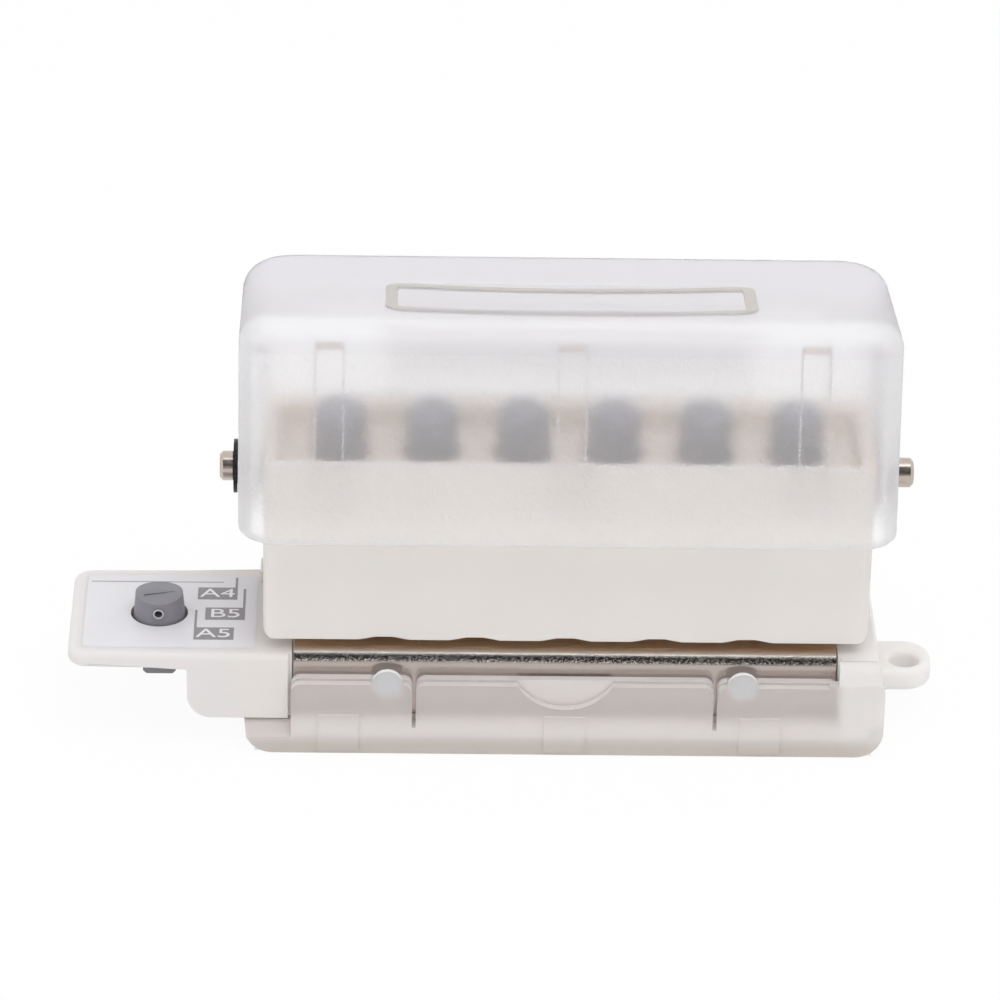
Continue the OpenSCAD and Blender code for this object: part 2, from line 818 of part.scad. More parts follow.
// Grey pressing head with a round upper edge and a blind bore for the stem
module punch_head(i) {
    edge = 1;
    color(grey) translate([punch_x(i), 0, head_z]) difference() {
        rotate_extrude() {
            square([head_d / 2, head_h - edge]);
            square([head_d / 2 - edge, head_h]);
            translate([head_d / 2 - edge, head_h - edge]) intersection() {
                circle(edge);
                square(edge);
            }
        }
        translate([0, 0, -over])
            cylinder(h = head_h - head_cap + over + seat_gap, r = stem_d / 2 + press_gap);
    }
}

// Return spring between the web and the head
module return_spring(i) {
    coil_r = stem_d / 2 + part_gap + wire_d / 2 + seat_gap;
    color(steel) translate([punch_x(i), 0, web_top])
        coil_spring(coil_r, wire_d, spring_l, spring_turns);
}

// Index peg with a tapered head, a gabled top, a pin hole in its front and a well for its spring
module index_peg() {
    stem_z = foot_z + foot_chamfer;
    color(grey) translate([peg_x, 0, 0]) difference() {
        union() {
            difference() {
                rotate_extrude() polygon([[0, peg_head_z], [peg_base_r, peg_head_z], [peg_base_r, bed_z],
                    [peg_d / 2, peg_top], [0, peg_top]]);
                translate([0, 0, peg_head_z - over]) cylinder(h = well_h + over, r = well_r);
            }
            translate([0, 0, stem_z])
                cylinder(h = peg_head_z + well_h - stem_z + over / 2, r = peg_stem_d / 2);
        }
        along_x(-peg_d, peg_d)
            for (s = [-1, 1])
                polygon([[0, peg_top], [s * peg_d, peg_top - 2 * gable_h], [s * peg_d, peg_top + over],
                    [0, peg_top + over]]);
        translate([0, 0, peg_top - peg_rise / 2]) rod_y(-peg_d, -peg_d / 2 + pin_hole_depth, pin_hole_r);
    }
}

// Square stop pressed on the lower end of the peg stem
module peg_foot() {
    color(grey) translate([peg_x, 0, foot_z]) difference() {
        along_y(-foot_w / 2, foot_w / 2)
            polygon([[-foot_w / 2, foot_chamfer], [-foot_w / 2 + foot_chamfer, 0],
                [foot_w / 2 - foot_chamfer, 0], [foot_w / 2, foot_chamfer],
                [foot_w / 2, foot_h], [-foot_w / 2, foot_h]]);
        translate([0, 0, foot_chamfer]) cylinder(h = foot_h, r = peg_stem_d / 2 + press_gap);
    }
}

// Spring between the sleeve's floor and the well in the peg head
module peg_spring() {
    color(steel) translate([peg_x, 0, peg_seat_z])
        coil_spring(peg_coil_r, peg_wire_d, peg_head_z + well_h - peg_seat_z, peg_turns);
}

// Front view of the shallow tray, with round lower corners
module tray_outline(half, low, r) {
    translate([-half, low + r]) square([2 * half, wall_top - low - r]);
    translate([-half + r, low]) square([2 * (half - r), wall_top - low]);
    for (s = [-1, 1]) translate([s * (half - r), low + r]) circle(r);
}

// Floor and low side walls
module tray_pan() {
    inner_r = max(tray_r - tray_wall, 0.4);
    difference() {
        along_y(flap_out, hinge_y - part_gap) intersection() {
            tray_outline(tray_half, 0, tray_r);
            translate([-tray_half, 0]) square([2 * tray_half, wall_top]);
        }
        along_y(flap_in, hinge_y + over) {
            tray_outline(tray_half - tray_wall, floor_t, inner_r);
            translate([-tray_half + 2 * tray_wall, floor_t + inner_r])
                square([2 * (tray_half - 2 * tray_wall), base_z]);
        }
        for (x = [-lug_end, -lug_w / 2, lug_end - lug_w])
            span([x - part_gap, hinge_y - knuckle_r - part_gap, -over],
                [x + lug_w + part_gap, hinge_y + over, base_z]);
        for (s = [-1, 1])
            span([s * tray_half - tray_r, hinge_y - knuckle_r, floor_t],
                [s * tray_half + tray_r, hinge_y + over, base_z]);
    }
}

// Front view of the flap up to a height: three tongues on one strip
module flap_outline(top) {
    translate([-flap_half, 0]) square([2 * flap_half, floor_t]);
    for (x = [[-flap_half, -slit_x - slit_w / 2], [-slit_x + slit_w / 2, slit_x - slit_w / 2],
            [slit_x + slit_w / 2, flap_half]])
        intersection() {
            round_rect([x[0], -flap_r], [x[1], top], flap_r);
            translate([x[0], floor_t / 2]) square([x[1] - x[0], top]);
        }
}

// Front flap in two layers, with a finger scoop, snap bosses and hinge pads
module tray_flap() {
    scoop_r = (scoop_w * scoop_w / 4 + scoop_h * scoop_h) / (2 * scoop_h);
    difference() {
        union() {
            along_y(flap_mid - over / 10, flap_in) flap_outline(flap_top);
            along_y(flap_out, flap_mid) flap_outline(rim_z);
            for (s = [-1, 1])
                translate([s * snap_x, 0, rim_z]) rod_y(flap_out - snap_h, flap_in, snap_r);
            for (x = pad_x)
                span([x - pad_w / 2, flap_out - pad_h, pad_z[0]], [x + pad_w / 2, flap_mid, pad_z[1]]);
        }
        translate([0, 0, rim_z + scoop_r - scoop_h]) rod_y(flap_out - over, flap_mid, scoop_r);
    }
}

// Front panel of the tray that covers the right cheek of the base
module tray_cheek() {
    low = wall_top - seat_gap / 2;
    high = bed_z - seat_gap;
    along_y(flap_out, -cheek_front - seat_gap)
        polygon([[flap_half - flap_r, low], [tray_half, low], [tray_half, bed_z - lean_h],
            [tray_half - lean_w, high], [flap_half, high], [flap_half, flap_top],
            [flap_half - flap_r, flap_top]]);
}

// Knuckles that turn on the hinge pin
module tray_knuckles() {
    for (x = [-knuckle_to, knuckle_from]) {
        translate([0, hinge_y, hinge_z]) rod_x(x, x + knuckle_to - knuckle_from, knuckle_r);
        span([x, hinge_y - knuckle_r, 0], [x + knuckle_to - knuckle_from, hinge_y, hinge_z]);
    }
}

module chip_tray() {
    color(frost) difference() {
        union() {
            tray_pan();
            tray_flap();
            tray_cheek();
            tray_knuckles();
        }
        translate([0, hinge_y, hinge_z])
            rod_x(-tray_half - over, tray_half + over, hinge_r + running_gap);
    }
}

module tray_hinge_pin() {
    color(steel) translate([0, hinge_y, hinge_z]) rod_x(-lug_end, lug_end, hinge_r);
}

base_frame();
die_plate();
punch_housing();
head_guide();
housing_screws();
size_label();
pivot_shaft();
e_clip_left();
e_clip_right();
lever_cover();
for (i = [1 : hole_count]) {
    punch_pin(i);
    punch_head(i);
    return_spring(i);
}
index_peg();
peg_foot();
peg_spring();
chip_tray();
tray_hinge_pin();
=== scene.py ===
"""Looks of the six-hole punch: finishes, frosted shells, coils, printed label, light and camera.

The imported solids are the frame. Sizes below are millimetres, as the solids have them, and MM turns
them into the scene's metres. X runs along the hole row, Y points to the back, Z is up.
"""
import math

import bmesh
import bpy
from mathutils import Matrix, Vector


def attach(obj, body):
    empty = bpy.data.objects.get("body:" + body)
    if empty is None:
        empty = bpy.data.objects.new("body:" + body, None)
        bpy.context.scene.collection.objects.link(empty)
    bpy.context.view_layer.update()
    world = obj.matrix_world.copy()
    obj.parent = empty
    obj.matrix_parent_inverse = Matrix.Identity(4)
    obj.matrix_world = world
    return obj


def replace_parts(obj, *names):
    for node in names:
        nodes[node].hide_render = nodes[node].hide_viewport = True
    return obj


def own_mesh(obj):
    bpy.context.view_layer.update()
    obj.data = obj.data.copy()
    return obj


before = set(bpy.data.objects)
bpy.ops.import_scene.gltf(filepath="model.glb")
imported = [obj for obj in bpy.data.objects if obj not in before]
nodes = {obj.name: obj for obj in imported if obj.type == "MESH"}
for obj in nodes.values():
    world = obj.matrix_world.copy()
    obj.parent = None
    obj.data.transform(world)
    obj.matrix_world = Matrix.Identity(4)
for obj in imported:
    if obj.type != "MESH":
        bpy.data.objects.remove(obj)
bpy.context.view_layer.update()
scene = bpy.context.scene

MM = 0.001

# Camera, as the photograph was taken
VIEW_YAW = math.radians(-1.5)
VIEW_RISE = math.radians(28.7)
VIEW_ROLL = math.radians(1.3)
VIEW_DISTANCE = 600
PIXELS_PER_MM = 9.44
FRAME_PIXELS = 1000
AIM_PIXEL = (563.5, 616)
SENSOR = 36

# Base and hole row
BED_Z = 11
HOLE_PITCH = 9.5
HOLE_COUNT = 6
WEB_TOP = 21
SPRING_LENGTH = 9
SPRING_WIRE = 0.6
SPRING_COIL = 2.2
SPRING_TURNS = 6
PEG_X = -42.75
PEG_SEAT_Z = 7.4
PEG_SPRING_LENGTH = 4.2
PEG_FRONT = -2.75
PEG_TOP = 13.6
PEG_SLIM = 0.94
PIN_HOLE_Z = 12.3
PIN_HOLE_RADIUS = 0.45
PEG_SPRING_WIRE = 0.35
PEG_SPRING_COIL = 1.825
PEG_SPRING_TURNS = 3

# Outer edges of the base: its arm, its front and its ear
ARM_ROOT = -33.4
ARM_END = -50.9
ARM_FRONT = -7.8
ARM_BACK = 8.7
ARM_LOW = 9
BLOCK_FRONT = -8.85
BLOCK_TOP = 10.9
EAR_ROOT = 33.6

# Trough of the housing
TROUGH_HALF = 30.3
TROUGH_DEPTH = 6.4
TROUGH_RIM = 33

# Chip tray: flap with scoop and snap bosses, right cheek, left ledge
FLAP_FRONT = -10.2
FLAP_BACK = -8.5
FLAP_TOP = 8.6
SCOOP_RADIUS = 5.86
SCOOP_Z = 11.36
SNAP_X = 18.6
SNAP_Z = 8.3
SNAP_RADIUS = 1.65
SNAP_REACH = 0.5
CHEEK_X = 28.6
CHEEK_TOP = 10.7
SEAT_GAP = 0.1
TRAY_SIDE = 33.4
LEDGE_X = -33.37
LEDGE_Z = 1.86
LEDGE_TOP = 3.2
NEAR = 0.05
TRAY_MIDDLE = Vector((0, 3, 5))

# Label print
INK_COAT = 0.02
CAP_SHARE = 0.7
LABEL_GAP = 0.05
BOX_SIZE = (4.2, 2.55)
GUIDE_WIDTH = 0.26
LETTER_HEIGHT = 1.75
LETTER_WIDEN = 1.3

# Pressing cover, in its own frame: the pivot is the origin and the cover is level
PIVOT = Vector((0, 15, 20.6))
LEVER_TILT = math.radians(10)
COVER_HALF = 34.1
COVER_SHIFT = -0.12
COVER_FRONT = -27.07
COVER_BACK = 1.3
COVER_WALL = 1.5
COVER_TOP = 24
COVER_TOP_WALL = 1.8
COVER_SKIRT = 0.4
COVER_RIM = 0.3
COVER_CORNER = 4
COVER_BACK_CORNER = 5.5
CORNER_STEPS = 8
COVER_FILLET = 3
COVER_BACK_OPEN = 6.5
EDGE_RUN = 10
LOBE = 4.2
BOSS = 3.5
BOSS_FACE = 34.75
BORE = 1.65
RIB_X = 24.9
RIB_WIDTH = 2.9
RIB_HEIGHT = 0.5
PANEL_B = -15.985
PANEL_DEPTH = 9.2
PANEL_HALF = 19.2
PANEL_WALL = 1.25
PANEL_SLIM = 0.75
PANEL_DROP = 7.4
PANEL_CORNER = 1.6
PANEL_RISE = 0.04
DISH = 0.45
PUSHER = (-15.778, 15.191)
PUSHER_RADIUS = 2
PUSHER_HALF = 26.95


# Meshes

SHARP_EDGE = math.radians(28)
FLAT_JOIN = math.radians(0.5)
WELD = 0.002


def add_object(name, bm, *materials):
    """A mesh object from a bmesh, with its materials."""
    bmesh.ops.recalc_face_normals(bm, faces=bm.faces)
    mesh = bpy.data.meshes.new(name)
    bm.to_mesh(mesh)
    bm.free()
    for material in materials:
        mesh.materials.append(material)
    obj = bpy.data.objects.new(name, mesh)
    scene.collection.objects.link(obj)
    return obj


def prism(bm, outline, place):
    """Adds a closed prism: place(u, v, end) gives a corner's point for end 0 and end 1."""
    low, high = ([bm.verts.new(Vector(place(u, v, end)) * MM) for u, v in outline] for end in (0, 1))
    bm.faces.new(low[::-1])
    bm.faces.new(high)
    for k in range(len(outline)):
        n = (k + 1) % len(outline)
        bm.faces.new((low[k], low[n], high[n], high[k]))


def solid(outline, place, skin):
    """A boolean tool for the cover: one closed prism as an object, with one of the cover's skins."""
    bm = bmesh.new()
    prism(bm, outline, place)
    for face in bm.faces:
        face.material_index = skin
    return add_object("tool", bm, *COVER_SKINS)


def along_x(outline, start, end, skin):
    """Outline in b and h, drawn out along X."""
    return solid(outline, lambda b, h, side: (end if side else start, b, h), skin)


def along_h(outline, start, end, skin):
    """Outline in X and b, drawn out along h."""
    return solid(outline, lambda x, b, side: (x, b, end if side else start), skin)


def rectangle(low, high):
    return [(low[0], low[1]), (high[0], low[1]), (high[0], high[1]), (low[0], high[1])]


def arc(centre, radius, start, sweep, steps):
    """Points on an arc, both ends included, with angles in degrees."""
    angles = (math.radians(start + sweep * k / steps) for k in range(steps + 1))
    return [(centre[0] + radius * math.cos(a), centre[1] + radius * math.sin(a)) for a in angles]


def disc(centre, radius, steps=48):
    return arc(centre, radius, 0, 360 * (steps - 1) / steps, steps - 1)


def round_rectangle(low, high, radius, steps=8):
    """Rectangle with round corners, counter-clockwise from the lower right."""
    points = []
    for x, y, start in ((high[0] - radius, low[1] + radius, -90), (high[0] - radius, high[1] - radius, 0),
                        (low[0] + radius, high[1] - radius, 90), (low[0] + radius, low[1] + radius, 180)):
        points += arc((x, y), radius, start, 90, steps)
    return points


def bake(obj):
    """Turns an object's modifiers into its mesh."""
    depsgraph = bpy.context.evaluated_depsgraph_get()
    obj.data = bpy.data.meshes.new_from_object(obj.evaluated_get(depsgraph))
    obj.modifiers.clear()


def combine(obj, tools, operation):
    """Joins the tools to obj or cuts them from it, and removes the tools."""
    for tool in tools:
        modifier = obj.modifiers.new("combine", "BOOLEAN")
        modifier.operation = operation
        modifier.object = tool
        modifier.solver = "EXACT"
        bake(obj)
        bpy.data.objects.remove(tool)


def smooth(obj, angle=35):
    """Smooth shading that breaks at edges sharper than the angle."""
    mesh = obj.data
    mesh.polygons.foreach_set("use_smooth", [True] * len(mesh.polygons))
    mesh.set_sharp_from_angle(angle=math.radians(angle))
    modifier = obj.modifiers.new("face weighted", "WEIGHTED_NORMAL")
    modifier.keep_sharp = True


def soften(node, width):
    """Moulded edges on a solid: welds its faces, clears flat triangles and rounds the edges."""
    obj = nodes[node]
    mesh = obj.data
    if "custom_normal" in mesh.attributes:
        mesh.attributes.remove(mesh.attributes["custom_normal"])
    mesh.polygons.foreach_set("use_smooth", [True] * len(mesh.polygons))
    weld = obj.modifiers.new("weld", "WELD")
    weld.merge_threshold = WELD * MM
    flat = obj.modifiers.new("flat faces", "DECIMATE")
    flat.decimate_type = "DISSOLVE"
    flat.angle_limit = FLAT_JOIN
    round_edges(obj, width)


def round_edges(obj, width):
    """Bevels the sharp edges, with smooth shading across the flat faces."""
    mesh = obj.data
    mesh.polygons.foreach_set("use_smooth", [True] * len(mesh.polygons))
    bevel = obj.modifiers.new("edges", "BEVEL")
    bevel.width = width * MM
    bevel.segments = 2
    bevel.limit_method = "ANGLE"
    bevel.angle_limit = SHARP_EDGE
    bevel.use_clamp_overlap = True
    bevel.harden_normals = True
    weighted = obj.modifiers.new("face weighted", "WEIGHTED_NORMAL")
    weighted.keep_sharp = True


def moulded(node, name, roundings, small=0.1):
    """A copy of a solid with moulded edges: each (width, test) rounds the outer edges that pass its test."""
    bm = bmesh.new()
    bm.from_mesh(nodes[node].data)
    bmesh.ops.remove_doubles(bm, verts=bm.verts, dist=WELD * MM)
    bmesh.ops.dissolve_limit(bm, angle_limit=FLAT_JOIN, verts=bm.verts, edges=bm.edges)
    for width, test in roundings:
        chosen = [edge for edge in bm.edges if edge.is_manifold and edge.is_convex
                  and edge.calc_face_angle() > SHARP_EDGE
                  and test(*((edge.verts[0].co + edge.verts[1].co) / (2 * MM)))]
        bmesh.ops.bevel(bm, geom=chosen, offset=width * MM, offset_type="OFFSET", segments=5, profile=0.5,
                        affect="EDGES", clamp_overlap=True, harden_normals=False)
    piece = add_object(name, bm)
    if "custom_normal" in piece.data.attributes:
        piece.data.attributes.remove(piece.data.attributes["custom_normal"])
    round_edges(piece, small)
    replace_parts(piece, node)
    return piece


# Materials

def principled(name, colour, roughness, **sockets):
    """A material and its Principled shader, with constant values set on the shader itself."""
    material = bpy.data.materials.new(name)
    material.use_nodes = True
    shader = material.node_tree.nodes["Principled BSDF"]
    shader.inputs["Base Color"].default_value = (*colour, 1)
    shader.inputs["Roughness"].default_value = roughness
    for socket, value in sockets.items():
        shader.inputs[socket.replace("_", " ")].default_value = value
    return material, shader


def noise(material, size, detail=3.0, stretch=(1, 1, 1)):
    """Noise in object space whose features are about size millimetres wide."""
    tree = material.node_tree
    place = tree.nodes.new("ShaderNodeTexCoord")
    mapping = tree.nodes.new("ShaderNodeMapping")
    mapping.inputs["Scale"].default_value = [1 / (size * MM * s) for s in stretch]
    texture = tree.nodes.new("ShaderNodeTexNoise")
    texture.inputs["Scale"].default_value = 1
    texture.inputs["Detail"].default_value = detail
    tree.links.new(place.outputs["Object"], mapping.inputs["Vector"])
    tree.links.new(mapping.outputs["Vector"], texture.inputs["Vector"])
    return texture.outputs["Fac"]


def spread(material, source, low, high):
    """Maps a noise's middle range to a range of values."""
    node = material.node_tree.nodes.new("ShaderNodeMapRange")
    node.inputs["From Min"].default_value = 0.3
    node.inputs["From Max"].default_value = 0.7
    node.inputs["To Min"].default_value = low
    node.inputs["To Max"].default_value = high
    material.node_tree.links.new(source, node.inputs["Value"])
    return node.outputs["Result"]


def vary_roughness(material, shader, source, low, high):
    material.node_tree.links.new(spread(material, source, low, high), shader.inputs["Roughness"])


def vary_colour(material, shader, source, first, second):
    """Lets the base colour drift between two close colours."""
    ramp = material.node_tree.nodes.new("ShaderNodeValToRGB")
    ramp.color_ramp.elements[0].position = 0.35
    ramp.color_ramp.elements[0].color = (*first, 1)
    ramp.color_ramp.elements[1].position = 0.65
    ramp.color_ramp.elements[1].color = (*second, 1)
    material.node_tree.links.new(source, ramp.inputs["Fac"])
    material.node_tree.links.new(ramp.outputs["Color"], shader.inputs["Base Color"])


def add_bump(material, shader, source, depth):
    """Relief from a noise, depth millimetres high."""
    node = material.node_tree.nodes.new("ShaderNodeBump")
    node.inputs["Strength"].default_value = 1
    node.inputs["Distance"].default_value = depth * MM
    material.node_tree.links.new(source, node.inputs["Height"])
    material.node_tree.links.new(node.outputs["Normal"], shader.inputs["Normal"])


def cream_plastic(name, colour):
    """Ivory moulded plastic with a fine eroded grain."""
    material, shader = principled(name, colour, 0.45, Subsurface_Weight=0.3, Subsurface_Scale=2 * MM,
                                  Subsurface_Radius=(1.0, 0.8, 0.65))
    lighter = tuple(c + 0.02 for c in colour)
    vary_colour(material, shader, noise(material, 14, 2), colour, lighter)
    vary_roughness(material, shader, noise(material, 1.2), 0.4, 0.52)
    add_bump(material, shader, noise(material, 0.22, 2), 0.006)
    return material


def frosted_plastic(name, colour, transmission, rough=0.6, bend=1.1, grain=0.006):
    """Milky polypropylene that shows what lies close behind it and blurs the rest.

    Its bend of light is kept low, because a moulded frost loses little light at its skins.
    """
    material, shader = principled(name, colour, rough, Transmission_Weight=transmission, IOR=bend)
    vary_roughness(material, shader, noise(material, 0.8), rough - 0.05, rough + 0.05)
    add_bump(material, shader, noise(material, 0.35, 1), grain)
    return material


def plated_steel(name, grain):
    """Nickel-plated steel with fine rolling lines and a pebbled skin, grain millimetres deep."""
    material, shader = principled(name, (0.55, 0.48, 0.43), 0.25, Metallic=1.0)
    vary_colour(material, shader, noise(material, 3), (0.52, 0.45, 0.40), (0.58, 0.51, 0.46))
    vary_roughness(material, shader, noise(material, 0.6, stretch=(8, 1, 1)), 0.2, 0.32)
    add_bump(material, shader, noise(material, 0.2, 2, stretch=(2, 1, 1)), grain)
    return material


def base_cream():
    """Cream of the base, paler at its thin right end as painted light, and whiter on the arm."""
    material = cream_plastic("cream_abs_base", (0.775, 0.74, 0.71))
    # painted light: the thin right end gets a paler cream, as if lit more strongly
    change(material, "Base Color", axis_ramp(material, "X", 27, 31), (0.86, 0.835, 0.82))
    change(material, "Base Color", axis_ramp(material, "X", -33, -37), (0.77, 0.745, 0.74))
    return material


def axis_ramp(material, axis, start, end):
    """0 to 1 from one place to another along an axis, with a soft start and end."""
    tree = material.node_tree
    place = tree.nodes.new("ShaderNodeTexCoord")
    axes = tree.nodes.new("ShaderNodeSeparateXYZ")
    tree.links.new(place.outputs["Object"], axes.inputs["Vector"])
    ramp = tree.nodes.new("ShaderNodeMapRange")
    ramp.interpolation_type = "SMOOTHSTEP"
    ramp.inputs["From Min"].default_value = start * MM
    ramp.inputs["From Max"].default_value = end * MM
    tree.links.new(axes.outputs[axis], ramp.inputs["Value"])
    return ramp.outputs["Result"]


def both(material, operation, first, second):
    """One value from two."""
    node = material.node_tree.nodes.new("ShaderNodeMath")
    node.operation = operation
    material.node_tree.links.new(first, node.inputs[0])
    material.node_tree.links.new(second, node.inputs[1])
    return node.outputs["Value"]


def height_band(material, low, high, blur):
    """1 between two heights over the table and 0 beyond them, with soft ends."""
    return both(material, "MULTIPLY", axis_ramp(material, "Z", low - blur, low + blur),
                axis_ramp(material, "Z", high + blur, high - blur))


def change(material, socket, share, second):
    """Lets a value or a colour of the shader go from what it is to second as the share goes from 0 to 1."""
    tree = material.node_tree
    target = tree.nodes["Principled BSDF"].inputs[socket]
    mix = tree.nodes.new("ShaderNodeMix")
    if target.type == "RGBA":
        mix.data_type = "RGBA"
        second = (*second, 1)
    mix.inputs["A"].default_value = target.default_value
    mix.inputs["B"].default_value = second
    if target.is_linked:
        tree.links.new(target.links[0].from_socket, mix.inputs["A"])
    tree.links.new(share, mix.inputs["Factor"])
    tree.links.new(mix.outputs["Result"], target)


def wall_frost():
    """Front and sides of the cover: hazy, clearer below, and milkier at the thick upright corners."""
    material = frosted_plastic("frosted_pp", (0.9, 0.89, 0.905), 0.78, grain=0.12)
    ends = both(material, "MAXIMUM", axis_ramp(material, "X", 31, 32.6), axis_ramp(material, "X", -31, -32.6))
    low = axis_ramp(material, "Z", 34.5, 32.5)
    change(material, "Roughness", low, 0.3)
    change(material, "Base Color", low, (0.97, 0.955, 0.95))
    change(material, "Transmission Weight", ends, 0.55)
    change(material, "Base Color", ends, (0.95, 0.945, 0.96))
    return material


def top_frost():
    """Top of the cover: hazy, and milky where the front edge is thick, which also paints in a highlight along
    the front fillet.
    """
    material = frosted_plastic("frosted_pp_top", (0.865, 0.855, 0.88), 0.8, 0.9, 1.06)
    # partly real, partly painted highlight: the thick front edge is milkier and whiter, standing also for the
    # bright band on the front fillet
    edge = both(material, "MULTIPLY", axis_ramp(material, "Y", -2.2, -5.6),
                axis_ramp(material, "Y", -8, -6.6))
    change(material, "Transmission Weight", edge, 0.55)
    change(material, "Base Color", edge, (0.955, 0.945, 0.965))
    return material


def tray_frost():
    """Chip tray: clear enough over the steel skirt, and milky at the bottom, the ends and the snap bosses;
    darker at the bottom as painted shade, with a milkier scoop and a paler right end as painted light.
    """
    material = frosted_plastic("frosted_pp_tray", (0.95, 0.91, 0.895), 0.66, 0.45, 1.2)
    ends = both(material, "MAXIMUM", axis_ramp(material, "X", 28, 29.5), axis_ramp(material, "X", -28.5, -30))
    milky = both(material, "MAXIMUM", ends, axis_ramp(material, "Z", 5.5, 3))
    # painted light: the milky spot over the scoop stands for its lighter look and white highlights; the snap
    # bosses' spot is their milky plastic
    for place, rim, middle, most in (((SNAP_X, SNAP_Z), 1.2 * SNAP_RADIUS, 0.6 * SNAP_RADIUS, 0.5),
                                     ((0, SCOOP_Z), SCOOP_RADIUS + 0.05, SCOOP_RADIUS - 0.3, 0.9)):
        milky = both(material, "MAXIMUM", milky, spot(material, place, rim, middle, most))
    change(material, "Transmission Weight", milky, 0.36)
    change(material, "Base Color", spot(material, (SNAP_X, SNAP_Z), 1.1 * SNAP_RADIUS, 0.7 * SNAP_RADIUS, 1),
           (0.88, 0.895, 0.92))
    # painted light: the right end is paler, as if lit more strongly
    change(material, "Base Color", axis_ramp(material, "X", 28, 30), (0.985, 0.955, 0.94))
    # painted shade: the bottom band is darker, as where the tray sits in shadow on the table
    change(material, "Base Color", axis_ramp(material, "Z", 2.4, 0.7), (0.77, 0.71, 0.66))
    # the cheek top takes the base's paler right-end cream, with the same painted light
    cheek = both(material, "MULTIPLY", axis_ramp(material, "X", 28.5, 28.7),
                 axis_ramp(material, "Z", 8.55, 8.7))
    change(material, "Transmission Weight", cheek, 0.1)
    change(material, "Base Color", cheek, (0.86, 0.835, 0.82))
    return material


def spot(material, place, rim, middle, most):
    """Round spots at X and -X of a place in X and Z: 0 at the rim's radius and most at the middle's."""
    tree = material.node_tree
    where = tree.nodes.new("ShaderNodeTexCoord")
    fold = tree.nodes.new("ShaderNodeVectorMath")
    fold.operation = "ABSOLUTE"
    flat = tree.nodes.new("ShaderNodeVectorMath")
    flat.operation = "MULTIPLY"
    flat.inputs[1].default_value = (1, 0, 1)
    reach = tree.nodes.new("ShaderNodeVectorMath")
    reach.operation = "DISTANCE"
    reach.inputs[1].default_value = (place[0] * MM, 0, place[1] * MM)
    fade = tree.nodes.new("ShaderNodeMapRange")
    fade.interpolation_type = "SMOOTHSTEP"
    fade.inputs["From Min"].default_value = rim * MM
    fade.inputs["From Max"].default_value = middle * MM
    fade.inputs["To Max"].default_value = most
    tree.links.new(where.outputs["Object"], fold.inputs[0])
    tree.links.new(fold.outputs["Vector"], flat.inputs[0])
    tree.links.new(flat.outputs["Vector"], reach.inputs[0])
    tree.links.new(reach.outputs["Value"], fade.inputs["Value"])
    return fade.outputs["Result"]


def die_steel():
    """Plated steel of the die plate, with painted reflections: a brown cast on the bed, a bright edge as a
    painted highlight, and a dark bend with bright painted glints over its pebbled relief.
    """
    # painted reflections and highlights: colours by height on the bent steel, not the steel's own
    skirt, dark, bright, bed = (0.48, 0.415, 0.385), (0.1, 0.085, 0.075), (0.95, 0.9, 0.85), (1, 0.77, 0.56)
    low, high = BED_Z - 1.6, BED_Z
    stops = ((low, skirt), (BED_Z - 1.05, skirt), (BED_Z - 0.9, dark), (BED_Z - 0.5, dark),
             (BED_Z - 0.4, bright), (BED_Z - 0.14, bright), (BED_Z - 0.06, bed))
    material, shader = principled("nickel_steel_bent_painted_reflections", skirt, 0.22, Metallic=1.0)
    tree = material.node_tree
    height = tree.nodes.new("ShaderNodeMapRange")
    height.inputs["From Min"].default_value = low * MM
    height.inputs["From Max"].default_value = high * MM
    place = tree.nodes.new("ShaderNodeTexCoord")
    axes = tree.nodes.new("ShaderNodeSeparateXYZ")
    tree.links.new(place.outputs["Object"], axes.inputs["Vector"])
    tree.links.new(axes.outputs["Z"], height.inputs["Value"])
    zones = tree.nodes.new("ShaderNodeValToRGB")
    while len(zones.color_ramp.elements) < len(stops):
        zones.color_ramp.elements.new(1)
    for stop, (z, colour) in zip(zones.color_ramp.elements, stops):
        stop.position = (z - low) / (high - low)
        stop.color = (*colour, 1)
    tree.links.new(height.outputs["Result"], zones.inputs["Fac"])
    # bright painted glints speckled over the dark band of the bend
    glint_specks = tree.nodes.new("ShaderNodeMix")
    glint_specks.data_type = "RGBA"
    glint_specks.inputs["B"].default_value = (*bright, 1)
    tree.links.new(zones.outputs["Color"], glint_specks.inputs["A"])
    bend = height_band(material, BED_Z - 1, BED_Z - 0.4, 0.1)
    grain = spread(material, noise(material, 0.15, 2, stretch=(1.4, 1, 1)), -0.6, 1.4)
    tree.links.new(both(material, "MULTIPLY", bend, grain), glint_specks.inputs["Factor"])
    tree.links.new(glint_specks.outputs["Result"], shader.inputs["Base Color"])
    vary_roughness(material, shader, noise(material, 0.6, stretch=(8, 1, 1)), 0.18, 0.28)
    relief = tree.nodes.new("ShaderNodeBump")
    relief.inputs["Distance"].default_value = 0.03 * MM
    tree.links.new(noise(material, 0.15, 2, stretch=(1.4, 1, 1)), relief.inputs["Height"])
    share = tree.nodes.new("ShaderNodeMapRange")
    share.inputs["To Min"].default_value = 0.2
    share.inputs["To Max"].default_value = 1
    tree.links.new(bend, share.inputs["Value"])
    tree.links.new(share.outputs["Result"], relief.inputs["Strength"])
    tree.links.new(relief.outputs["Normal"], shader.inputs["Normal"])
    return material


def spring_wire():
    """Bright drawn wire."""
    material, shader = principled("spring_steel", (0.6, 0.59, 0.58), 0.25, Metallic=1.0)
    vary_roughness(material, shader, noise(material, 0.4), 0.18, 0.34)
    add_bump(material, shader, noise(material, 0.1, 2), 0.002)
    return material


